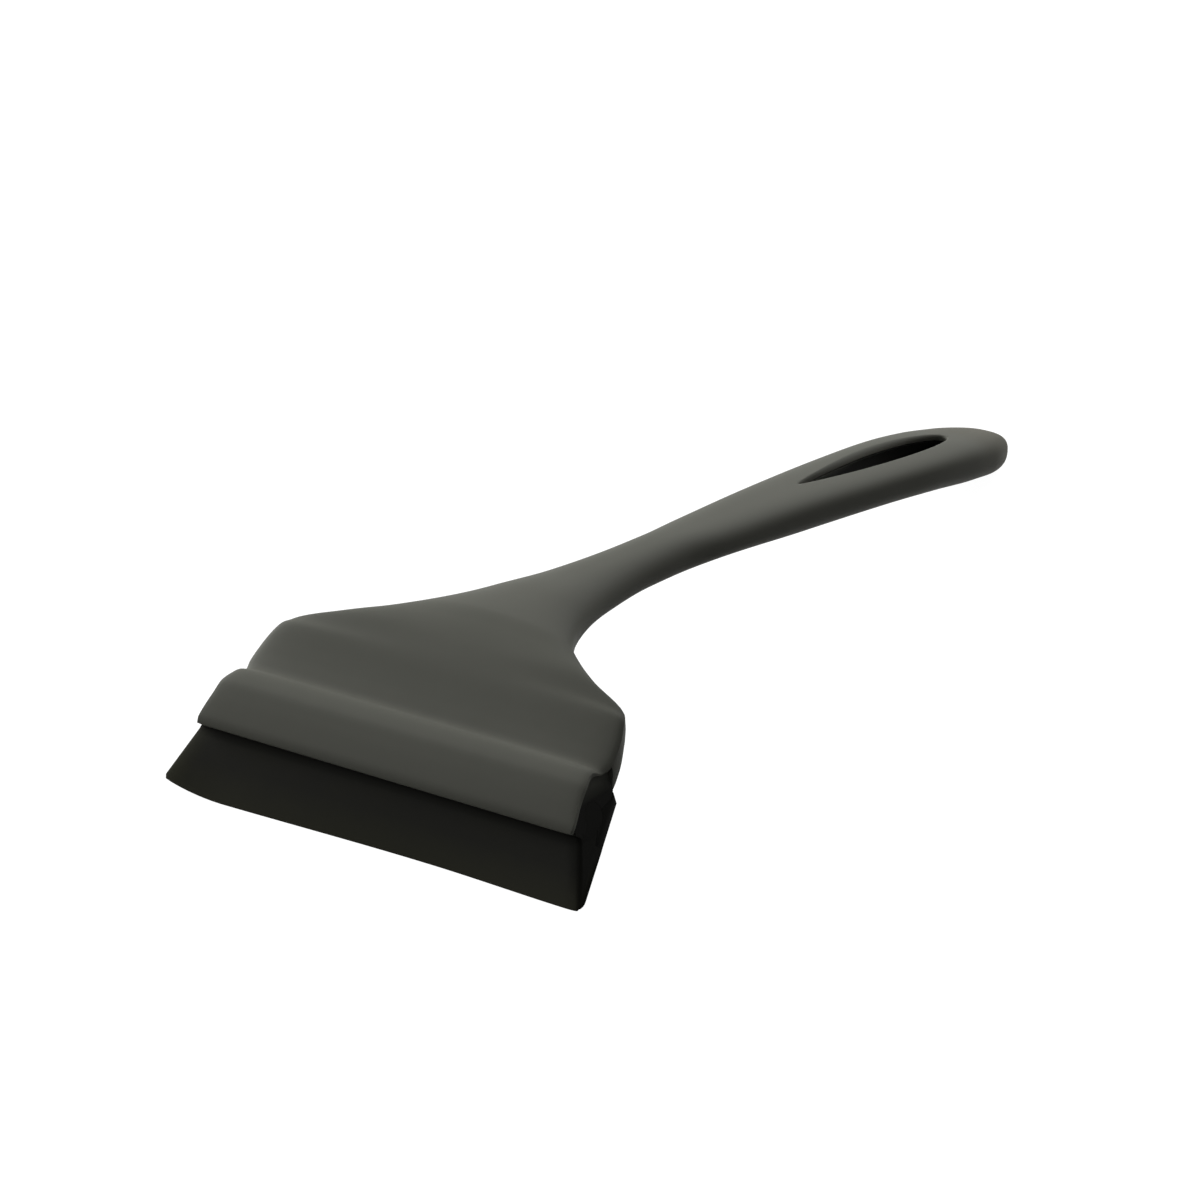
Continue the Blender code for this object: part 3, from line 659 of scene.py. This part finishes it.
def cleaned(mesh):
    """Merges a mesh's doubled points and turns its faces outwards."""
    shape = bmesh.new()
    shape.from_mesh(mesh)
    bmesh.ops.remove_doubles(shape, verts=shape.verts, dist=WELD)
    bmesh.ops.recalc_face_normals(shape, faces=shape.faces)
    shape.to_mesh(mesh)
    shape.free()
    return mesh


def evaluated_mesh(obj):
    """The object's finished shape as a plain mesh."""
    bpy.context.view_layer.update()
    finished = obj.evaluated_get(bpy.context.evaluated_depsgraph_get())
    return cleaned(bpy.data.meshes.new_from_object(finished))


def outline_bar(name, outline, half_length, turn, material=None):
    """A flat outline drawn out to a bar and turned into place."""
    guide = flat_curve(name, outline)
    guide.data.fill_mode = "BOTH"
    guide.data.extrude = half_length
    mesh = evaluated_mesh(guide)
    bpy.data.objects.remove(guide, do_unlink=True)
    mesh.transform(turn)
    return new_piece(name, cleaned(mesh), material)


def box_piece(name, low, high):
    """A plain box between two corners, to cut with."""
    shape = bmesh.new()
    bmesh.ops.create_cube(shape, size=1)
    size = [b - a for a, b in zip(low, high)]
    middle = [(a + b) / 2 for a, b in zip(low, high)]
    placing = Matrix.Translation(middle) @ Matrix.Diagonal((*size, 1))
    bmesh.ops.transform(shape, matrix=placing, verts=shape.verts)
    return new_piece(name, mesh_from(shape, name), None)


def carve(piece, *cutters, rounding=0.0):
    """Cuts the cutters out of a piece, rounds its sharp edges, and leaves a plain smooth-shaded mesh."""
    for cutter in cutters:
        cut = piece.modifiers.new("cut", "BOOLEAN")
        cut.operation = "DIFFERENCE"
        cut.solver = "EXACT"
        cut.object = cutter
    if rounding:
        soften = piece.modifiers.new("soften", "BEVEL")
        soften.width = rounding
        soften.segments = SOFTEN_SEGMENTS
        soften.limit_method = "ANGLE"
        soften.angle_limit = SOFTEN_ANGLE
    finished = evaluated_mesh(piece)
    piece.modifiers.clear()
    piece.data = finished
    for cutter in cutters:
        bpy.data.objects.remove(cutter, do_unlink=True)
    smooth_shaded(piece)
    return piece


def smooth_shaded(piece, angle=CREASE_ANGLE):
    """Shades the piece smooth but for its creases."""
    piece.data.shade_smooth()
    piece.data.set_sharp_from_angle(angle=angle)


def slot_outline(widening):
    """The hanging slot seen from above, as a drop with its point towards the head."""
    length = SLOT_LENGTH + 2 * widening
    half = SLOT_WIDTH / 2 + widening
    points = []
    for side in (1, -1):
        for k in range(SLOT_STEPS):
            share = (1 - math.cos(math.pi * k / SLOT_STEPS)) / 2
            along = share if side > 0 else 1 - share
            across = half * math.sin(math.pi * along**SLOT_SKEW) ** SLOT_FULLNESS if 0 < along < 1 else 0
            points.append((side * across, SLOT_START - widening + length * along))
    return points


def body_face(back, across, upper):
    """The height of the body's upper or lower face at a place, given across in metres."""
    half, top, rise, depth, square_up, square_down, fall = body_values(back)
    share = min(1, abs(across) / half)
    if upper:
        return top - rise - fall * share**2 + rise * (1 - share**square_up) ** (1 / square_up)
    return top - rise - fall * share**2 - depth * (1 - share**square_down) ** (1 / square_down)


def slot_cutter(name, widening, rounding):
    """What the slot takes away: upright walls that flare out to meet the upper and lower faces in a round."""
    flare = []
    for turn in range(SLOT_FLARE_START, -1, -SLOT_FLARE_STEP):
        angle = math.radians(turn)
        flare.append((rounding * (1 - math.cos(angle)), rounding * (1 - math.sin(angle))))
    reach = 2 * rounding
    slant = math.tan(math.radians(90 - SLOT_FLARE_START))
    flare.insert(0, (flare[0][0] + reach, flare[0][1] - reach * slant))
    inner = slot_outline(widening)

    def flared(wider):
        """The outline that much wider, more so on the left, with how much it is rounded at each point."""
        points = []
        for (x, y), (wide_x, wide_y) in zip(inner, slot_outline(widening + wider)):
            leftness = min(1, max(0, -2 * x / SLOT_WIDTH))
            share = 1 + (FAR_RIM_SHARE - 1) * leftness * math.sin(math.pi * (y - SLOT_START) / SLOT_LENGTH)
            points.append((x + (wide_x - x) * share, wide_y, share))
        return points

    rings = [[(x, y + EDGE_PLACE, 3 * DEEP) for x, y, _ in flared(flare[0][0])]]
    for upper, order in ((True, flare), (False, flare[::-1])):
        sign = -1 if upper else 1
        for wider, deeper in order:
            ring = [(x, y, body_face(y, x, upper) + sign * deeper * share) for x, y, share in flared(wider)]
            rings.append([(x, y + EDGE_PLACE, z) for x, y, z in ring])
    rings.append([(x, y + EDGE_PLACE, -DEEP) for x, y, _ in flared(flare[0][0])])
    return loft(name, rings)


def inner_rings(start, inset, side_break, floor_break, floor, skin_below):
    """Rings of what the skin holds. Up to the side break its ends are open and it reaches deep; up to the
    floor break it reaches the floor, or the body's own underside where there is none; then it is closed."""

    def ring(place):
        if place < side_break:
            return body_section(place, inset, half_width=HOOD_WIDTH / 2 + OVERSHOOT, floor=-DEEP)
        if place < floor_break:
            return body_section(place, inset, floor=floor, skin_below=skin_below)
        return body_section(place, inset)

    step = SEAT_GAP / 3
    places = stations(start, LENGTH - inset, coarse=2)
    for stop in (side_break, floor_break):
        places = [place for place in places if abs(place - stop) > 2 * step]
        places += [stop - step, stop + step]
    return [ring(place) for place in sorted(places)]


def make_skin(material):
    """The soft skin: all of the body but the frame's space, open over the jaws and at the slot."""
    skin = loft("soft_skin", [body_section(back) for back in stations(LIP_BACK, LENGTH)], material)
    start = LIP_BACK + LIP_THICKNESS / 2
    side_break = CLAMP_CORNER_BACK + SEAT_GAP
    space = inner_rings(start, SKIN_WALL, side_break, SKIN_OPEN_BACK + SEAT_GAP, -DEEP, True)
    table = box_piece("table_room", (-EDGE_WIDTH, 0, -DEEP), (EDGE_WIDTH, EDGE_WIDTH * 2, 0))
    carve(skin, loft("frame_space", space), slot_cutter("skin_slot", SEAT_GAP, SLOT_ROUND), table)
    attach(skin, "squeegee")
    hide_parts("soft_grip_skin")


def end_cutters():
    """What lies past the ends of the jaws, which lean in from the edge up to the ridge."""
    lean = math.tan(END_LEAN)
    jaw_half = EDGE_WIDTH / 2 - lean * RIDGE_TOP
    outline = [(EDGE_WIDTH / 2 + lean * DEEP, -DEEP), (jaw_half, RIDGE_TOP), (jaw_half, 3 * DEEP)]
    outline += [(EDGE_WIDTH, 3 * DEEP), (EDGE_WIDTH, -DEEP)]
    found = []
    for side in (-1, 1):
        mirrored = [(side * across, height) for across, height in outline]
        end = outline_bar("jaw_end", mirrored, 3 * DEEP, ALONG)
        end.data.transform(Matrix.Translation((0, EDGE_PLACE, 0)))
        found.append(end)
    return found


def clamp_corner():
    """Where the jaw's outer face, in line with the blade's rear face, turns up along the flange."""
    return CLAMP_CORNER_BACK, (CLAMP_CORNER_BACK - EDGE_FLAT) * math.tan(REAR_ANGLE)


def clamp_outline(gap):
    """The flange's corners in the end view: outer and inner, at its root and at its end."""
    corner = clamp_corner()
    depth = FLANGE_THICKNESS + gap
    inner = (corner[0] - math.sin(FLANGE_ANGLE) * depth, corner[1] + math.cos(FLANGE_ANGLE) * depth)
    end_back = CLAMP_END_BACK + gap
    inner_end = (end_back, inner[1] + (end_back - inner[0]) * math.tan(FLANGE_ANGLE))
    outer_end = (end_back, corner[1] + (end_back - corner[0]) * math.tan(FLANGE_ANGLE))
    return corner, inner, inner_end, outer_end


def channel_side(side):
    """The side of the neck's slit, from the jaws' mouth up to the bead's channel."""
    half = NECK_THICKNESS / 2 + SEAT_GAP
    return blade_point(ROOT_PLACE + SEAT_GAP, side * half)


def slit_half_angle():
    """Half the angle that the neck's slit takes out of the bead's channel."""
    return math.asin((NECK_THICKNESS / 2 + SEAT_GAP) / (BEAD_RADIUS + SEAT_GAP))


def parting_angle(inner):
    """The direction from the bead's middle to the parting line's outer end."""
    centre = blade_point(BEAD_PLACE, 0)
    return math.atan2(inner[1] - centre[1], inner[0] - centre[0])


def flange_notch(side, gap):
    """What is cut from beside the flange, where the frame reaches down as a rim."""
    inner_side = FLANGE_HALF + gap
    outer_side = HOOD_WIDTH / 2 + 2 * OVERSHOOT
    back = EDGE_PLACE + CLAMP_CORNER_BACK + gap
    low = (min(side * inner_side, side * outer_side), back, -2 * DEEP)
    high = (max(side * inner_side, side * outer_side), EDGE_PLACE + CLAMP_END_BACK + OVERSHOOT, 2 * DEEP)
    return box_piece("flange_notch", low, high)


def make_clamp_room():
    """The room in the frame for the blade's root, the rear jaw and its flange."""
    _, inner, inner_end, _ = clamp_outline(SEAT_GAP)
    front = MIDDLE_ANGLE + math.pi - slit_half_angle()
    outline = [blade_point(ROOT_PLACE + SEAT_GAP, -DEEP), channel_side(-1)]
    outline += arc(blade_point(BEAD_PLACE, 0), BEAD_RADIUS + SEAT_GAP, front, parting_angle(inner))
    outline += [inner, inner_end, (inner_end[0], -2 * DEEP), (-DEEP, -2 * DEEP)]
    room = outline_bar("clamp_room", outline, BAR_HALF, ACROSS)
    return carve(room, *(flange_notch(side, SEAT_GAP) for side in (-1, 1)))


def screw_turn():
    """Turns an upright screw so that its head faces out of the flange, at the middle of the head."""
    corner = clamp_corner()
    back = corner[0] + SCREW_INSET * math.cos(FLANGE_ANGLE)
    height = corner[1] + SCREW_INSET * math.sin(FLANGE_ANGLE)
    tilt = Matrix.Rotation(FLANGE_ANGLE - math.pi, 4, "X")
    return Matrix.Translation((0, back + EDGE_PLACE, height)) @ tilt


def make_frame(material):
    """The stiff frame: front jaw under the hood, fan, spine bar and the ring round the hanging slot."""
    start = LIP_BACK + LIP_THICKNESS
    rings = inner_rings(start, SKIN_WALL + SEAT_GAP, CLAMP_CORNER_BACK, SKIN_OPEN_BACK, None, False)
    core = loft("core", rings, material)
    slot = [(x, y + EDGE_PLACE) for x, y in slot_outline(0)]
    slot_room = outline_bar("slot_room", slot, 2 * DEEP, Matrix())
    carve(core, make_clamp_room(), slot_room, *end_cutters())
    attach(core, "squeegee")
    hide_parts("core_frame")


def make_clamp(material):
    """The rear jaw: a lip behind the blade, a curved inner face round the bead, and a flat flange."""
    corner, inner, inner_end, outer_end = clamp_outline(0)
    rear = MIDDLE_ANGLE - math.pi + slit_half_angle()
    mouth = ROOT_PLACE + SEAT_GAP
    outline = [channel_side(1), blade_point(mouth, face_across(mouth, 1)), corner]
    outline += [outer_end, inner_end, inner]
    outline += arc(blade_point(BEAD_PLACE, 0), BEAD_RADIUS + SEAT_GAP, parting_angle(inner), rear)
    clamp = outline_bar("rear_jaw", outline, BAR_HALF, ACROSS, material)
    cutters = end_cutters() + [flange_notch(side, 0) for side in (-1, 1)]
    carve(clamp, *cutters, rounding=JAW_ROUND)
    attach(clamp, "squeegee")
    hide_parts("rear_clamp_jaw")


def rounded(outline, radius):
    """The outline with its corners rounded: each corner sharper than a gentle bend becomes a short arc."""
    points = []
    for k, corner in enumerate(outline):
        here = Vector(corner)
        before = (Vector(outline[k - 1]) - here).normalized()
        after = (Vector(outline[(k + 1) % len(outline)]) - here).normalized()
        half_angle = before.angle(after) / 2
        if half_angle > GENTLE_BEND:
            points.append(tuple(here))
            continue
        reach = radius / math.tan(half_angle)
        start = here + before * reach
        end = here + after * reach
        for step in range(CORNER_STEPS + 1):
            share = step / CORNER_STEPS
            points.append(tuple((1 - share) ** 2 * start + 2 * share * (1 - share) * here + share**2 * end))
    return points


def blade_outline():
    """The whole blade as seen from its end: the wedge, and above it the neck and the bead, which sit snugly
    in their channel."""
    swell = SEAT_GAP - BLADE_FIT
    half_neck = NECK_THICKNESS / 2 + swell
    bead = BEAD_RADIUS + swell
    shoulder = ROOT_PLACE + SEAT_GAP + BLADE_FIT
    neck_reach = math.pi - math.asin(half_neck / bead)
    count = round(shoulder / FACE_STEP)
    places = [FACE_STEP + (shoulder - FACE_STEP) * k / count for k in range(count + 1)]
    outline = [(0, 0), (EDGE_FLAT, 0)]
    outline += [blade_point(place, face_across(place, 1)) for place in places]
    outline.append(blade_point(shoulder, half_neck))
    outline += arc(blade_point(BEAD_PLACE, 0), bead, MIDDLE_ANGLE - neck_reach, MIDDLE_ANGLE + neck_reach)
    outline.append(blade_point(shoulder, -half_neck))
    outline += [blade_point(place, face_across(place, -1)) for place in places[::-1]]
    return rounded(outline, BLADE_ROUND)


def new_tree(name, shape, sizes):
    """A geometry tree with a shape and named sizes as its inputs, and the values of those inputs."""
    tree = bpy.data.node_groups.new(name, "GeometryNodeTree")
    tree.is_modifier = True
    tree.interface.new_socket(shape, in_out="INPUT", socket_type="NodeSocketGeometry")
    for size_name, size in sizes.items():
        kind = "NodeSocketInt" if isinstance(size, int) else "NodeSocketFloat"
        tree.interface.new_socket(size_name, in_out="INPUT", socket_type=kind)
    tree.interface.new_socket("Geometry", in_out="OUTPUT", socket_type="NodeSocketGeometry")
    given = tree.nodes.new("NodeGroupInput")
    return tree, {socket: Value(tree, given.outputs[socket]) for socket in (shape, *sizes)}


def end_tree(tree, shape, material):
    """Ends a tree with real copies in their material."""
    real = node(tree, "GeometryNodeRealizeInstances", None, shape)
    finished = node(tree, "GeometryNodeSetMaterial", None, Geometry=real, Material=material)
    result = tree.nodes.new("NodeGroupOutput")
    tree.links.new(finished.socket, result.inputs[0])
    return tree


def quarter_round(value):
    """From 1 down to 0 as the value goes from 0 to 1, along a quarter of a circle."""
    return (1 - value * value).at_least(0).root()


def eased(value):
    """From 0 to 1 as the value does, but level at both ends."""
    return value * value * (3 - 2 * value)


def blade_tree(material):
    """The rule of the blade: its end view drawn out across, with ends that lean in from the edge to the hood,
    an edge that bows forward to both tips, a left tip that curls up, and a front face that rolls round into
    each end."""
    tree, inputs = new_tree("blade", "Outline", BLADE_SIZES)

    # The bar, whose rings lie closer together towards both ends
    path = node(tree, "GeometryNodeCurvePrimitiveLine", None, Start=(0, 0, -1), End=(0, 0, 1))
    path = node(tree, "GeometryNodeResampleCurve", None, Curve=path, Count=BLADE_RINGS)
    outline = inputs["Outline"]
    bar = node(tree, "GeometryNodeCurveToMesh", None, Curve=path, Profile_Curve=outline, Fill_Caps=True)
    place = node(tree, "GeometryNodeInputPosition")
    back = axis(tree, place, "X")
    height = axis(tree, place, "Y")
    run = axis(tree, place, "Z")
    share = run * (1.5 - 0.5 * run * run)

    # The ends, which lean in and are rounded off at the tips
    from_middle = back - EDGE_FLAT / 2
    along = from_middle * math.cos(MIDDLE_ANGLE) + height * math.sin(MIDDLE_ANGLE)
    before_middle = (height * math.cos(MIDDLE_ANGLE) - from_middle * math.sin(MIDDLE_ANGLE)).at_least(0)
    fade = (1 - along / WARP_REACH).at_least(0)
    tip_cut = inputs["Tip round"] * (1 - quarter_round((1 - height / inputs["Tip round"]).clamped()))
    half = inputs["Edge width"] / 2 - inputs["Lean"] * height - tip_cut
    across = share * (half + END_SPARE * fade)

    # The roll of the front face into each end, below the root
    below_root = ((ROOT_PLACE + SEAT_GAP + 2 * BLADE_FIT - along) / BLADE_FIT).clamped()
    rightness = (share + 1) / 2
    deepest = inputs["Left round"] + (inputs["Right round"] - inputs["Left round"]) * rightness
    roll = 1 - quarter_round((1 - half * (1 - abs(share)) / inputs["Round reach"]).clamped())
    rolled = (before_middle * ROLL_SHARE).at_most(deepest) * roll * below_root

    # The bow of the edge, and the curl of the left tip
    leftward = ((inputs["Bow middle"] - share) / (inputs["Bow middle"] + 1)).at_least(0)
    rightward = ((share - inputs["Bow middle"]) / (1 - inputs["Bow middle"])).at_least(0)
    bow = inputs["Left bow"] * eased(leftward) + inputs["Right bow"] * eased(rightward)
    curl = (1 - (across + half) / inputs["Tip reach"]).clamped()

    new_back = back + rolled + EDGE_PLACE - bow * fade
    new_height = (height + inputs["Tip rise"] * curl * curl * fade).at_least(0)
    moved = node(tree, "ShaderNodeCombineXYZ", None, across, new_back, new_height)
    placed = node(tree, "GeometryNodeSetPosition", None, Geometry=bar, Position=moved)
    return end_tree(tree, placed, material)


def shaped_by(piece, tree, sizes):
    """Runs a node tree on a piece and returns the plain mesh it makes, with the modifier gone."""
    modifier = piece.modifiers.new(tree.name, "NODES")
    modifier.node_group = tree
    given = [item for item in tree.interface.items_tree if item.in_out == "INPUT"]
    identifiers = {item.name: item.identifier for item in given}
    for name, size in sizes.items():
        modifier[identifiers[name]] = size
    mesh = evaluated_mesh(piece)
    piece.modifiers.clear()
    return mesh


def make_blade(material):
    """The rubber blade in one piece."""
    guide = flat_curve("blade_outline", blade_outline())
    mesh = shaped_by(guide, blade_tree(material), BLADE_SIZES)
    bpy.data.objects.remove(guide, do_unlink=True)
    blade = new_piece("rubber_blade", mesh, material)
    smooth_shaded(blade, BLADE_CREASE_ANGLE)
    low = blade_point(FLEX_PLACE - FLEX_REACH, 0)
    high = blade_point(FLEX_PLACE + FLEX_REACH, 0)
    start = (0, high[0] + EDGE_PLACE, high[1])
    end = (0, low[0] + EDGE_PLACE, low[1])
    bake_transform(blade)
    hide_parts("blade_root", "blade_lip")


def turned_mesh(name, profile):
    """A profile of radius and height, turned about the upright axis."""
    shape = bmesh.new()
    points = [shape.verts.new((radius, 0, height)) for radius, height in profile]
    edges = [shape.edges.new(pair) for pair in zip(points[:-1], points[1:])]
    turn = {"cent": (0, 0, 0), "axis": (0, 0, 1), "angle": 2 * math.pi, "steps": SCREW_STEPS}
    bmesh.ops.spin(shape, geom=points + edges, use_merge=True, **turn)
    return cleaned(mesh_from(shape, name))


def one_screw(material):
    """A pan-head screw standing upright on its seat, with a cross recess in its head."""
    rise = SCREW_HEAD_HEIGHT
    head = [(0, SEAT_GAP + rise)]
    for k in range(1, HEAD_CURVE_STEPS + 1):
        angle = math.pi / 2 * k / HEAD_CURVE_STEPS
        radius = SCREW_HEAD_RADIUS * (HEAD_TOP_SHARE + (1 - HEAD_TOP_SHARE) * math.sin(angle))
        head.append((radius, SEAT_GAP + rise * (HEAD_RIM_SHARE + (1 - HEAD_RIM_SHARE) * math.cos(angle))))
    head.append((SCREW_HEAD_RADIUS, SEAT_GAP))
    shank = [(SCREW_RADIUS, SEAT_GAP), (SCREW_RADIUS, SCREW_RADIUS - SCREW_LENGTH), (0, -SCREW_LENGTH)]
    screw = new_piece("screw", turned_mesh("screw", head + shank), material)
    arm = RECESS_ARM_SHARE * SCREW_HEAD_RADIUS
    wide = RECESS_WIDTH_SHARE * SCREW_HEAD_RADIUS
    deep = RECESS_DEPTH_SHARE * rise
    top = SEAT_GAP + rise
    bars = [
        box_piece("recess_x", (-arm, -wide, top - deep), (arm, wide, top + rise)),
        box_piece("recess_y", (-wide, -arm, top - deep), (wide, arm, top + rise)),
    ]
    return carve(screw, *bars)


def screws_tree(material):
    """The rule of the screws: as many as asked for, evenly spaced across the flange."""
    tree, inputs = new_tree("screws", "Screw", SCREW_SIZES)
    count, spacing = inputs["Count"], inputs["Spacing"]
    first = node(tree, "ShaderNodeCombineXYZ", None, (0 - spacing) * (count - 1) / 2, 0.0, 0.0)
    step = node(tree, "ShaderNodeCombineXYZ", None, spacing, 0.0, 0.0)
    row = node(tree, "GeometryNodeMeshLine", None, Count=count, Start_Location=first, Offset=step)
    copies = node(tree, "GeometryNodeInstanceOnPoints", None, Points=row, Instance=inputs["Screw"])
    return end_tree(tree, copies, material)


def make_screws(material):
    """Three screws that hold the rear jaw."""
    guide = one_screw(material)
    mesh = shaped_by(guide, screws_tree(material), SCREW_SIZES)
    bpy.data.objects.remove(guide, do_unlink=True)
    mesh.transform(screw_turn())
    screws = new_piece("clamp_screws", mesh, material)
    smooth_shaded(screws)
    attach(screws, "squeegee")
    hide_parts("clamp_screw_left", "clamp_screw_middle", "clamp_screw_right")


def finish_stiffener(material):
    """The strip inside the bead keeps its solid and gets the steel's finish."""
    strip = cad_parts["blade_stiffener"]
    strip.data.materials.clear()
    strip.data.materials.append(material)


def white_ground(tree):
    """1 for what the camera sees directly, in a reflection or through something clear, and 0 for light."""
    kinds = ("Camera", "Glossy", "Transmission")
    rays = [node(tree, "ShaderNodeLightPath", out=f"Is {kind} Ray") for kind in kinds]
    return (rays[0] + rays[1] + rays[2]).at_most(1)


def make_floor():
    """A white table top, which glows to the camera, so that the picture's ground is white."""
    mesh = bpy.data.meshes.new("floor")
    corners = ((-1, -1), (1, -1), (1, 1), (-1, 1))
    mesh.from_pydata([(x * FLOOR_REACH, y * FLOOR_REACH, 0) for x, y in corners], [], [(0, 1, 2, 3)])
    material = bpy.data.materials.new("white_table")
    material.use_nodes = True
    tree = material.node_tree
    tree.nodes.clear()
    glow_level = white_ground(tree) * FLOOR_GLOW
    glow = node(tree, "ShaderNodeEmission", None, Color=WHITE, Strength=glow_level)
    matt = node(tree, "ShaderNodeBsdfDiffuse", None, Color=FLOOR_COLOUR)
    both = node(tree, "ShaderNodeAddShader", None, glow, matt)
    output = tree.nodes.new("ShaderNodeOutputMaterial")
    tree.links.new(both.socket, output.inputs["Surface"])
    new_piece("floor", mesh, material)


def make_world():
    """White all round to the camera, and a plain even light on the object."""
    world = bpy.data.worlds.new("studio")
    bpy.context.scene.world = world
    world.use_nodes = True
    tree = world.node_tree
    tree.nodes.clear()
    level = white_ground(tree) * (1 - WORLD_LEVEL) + WORLD_LEVEL
    ground = node(tree, "ShaderNodeBackground", None, Color=WHITE, Strength=level)
    output = tree.nodes.new("ShaderNodeOutputWorld")
    tree.links.new(ground.socket, output.inputs["Surface"])


def make_lights():
    """A large soft light from the left, weaker ones from behind the tail, and a faint one from the front."""
    for name, (place, watts) in LIGHTS.items():
        data = bpy.data.lights.new(name, "AREA")
        data.shape = "SQUARE"
        data.size = SOFTBOX_SIZE
        data.energy = watts
        light = bpy.data.objects.new(name, data)
        light.location = place
        light.rotation_euler = (-Vector(place)).to_track_quat("-Z", "Y").to_euler()
        bpy.context.scene.collection.objects.link(light)


def make_camera():
    """The photograph's view: the middle of the blade's edge falls on its place in the picture."""
    azimuth, elevation, roll = (math.radians(a) for a in (CAMERA_AZIMUTH, CAMERA_ELEVATION, CAMERA_ROLL))
    level_right = Vector((math.cos(azimuth), math.sin(azimuth), 0))
    ahead = Vector((-math.sin(azimuth), math.cos(azimuth), -math.tan(elevation))).normalized()
    level_up = level_right.cross(ahead)
    right = level_right * math.cos(roll) + level_up * math.sin(roll)
    up = level_up * math.cos(roll) - level_right * math.sin(roll)
    per_pixel = CAMERA_DISTANCE / FOCAL_PIXELS
    aside = (EDGE_MIDDLE_IN_PHOTO[0] - PHOTO_WIDTH / 2) * per_pixel
    above = (PHOTO_WIDTH / 2 - EDGE_MIDDLE_IN_PHOTO[1]) * per_pixel
    data = bpy.data.cameras.new("photo_camera")
    data.sensor_width = SENSOR_WIDTH
    data.lens = SENSOR_WIDTH * FOCAL_PIXELS / PHOTO_WIDTH
    data.clip_start, data.clip_end = 0.01, 20
    camera = bpy.data.objects.new("photo_camera", data)
    edge_middle = Vector((0, EDGE_PLACE, 0))
    camera.location = edge_middle - right * aside - up * above - ahead * CAMERA_DISTANCE
    turn = Matrix((right, up, -ahead)).transposed()
    camera.rotation_euler = turn.to_euler()
    bpy.context.scene.collection.objects.link(camera)
    bpy.context.scene.camera = camera


def main():
    """Makes the pieces, then the picture round them."""
    bpy.context.scene.view_settings.view_transform = "Standard"
    black = frame_plastic()
    steel = screw_steel()
    make_skin(soft_skin())
    make_frame(black)
    make_clamp(black)
    make_blade(blade_rubber())
    make_screws(steel)
    finish_stiffener(steel)
    make_floor()
    make_world()
    make_lights()
    make_camera()


main()
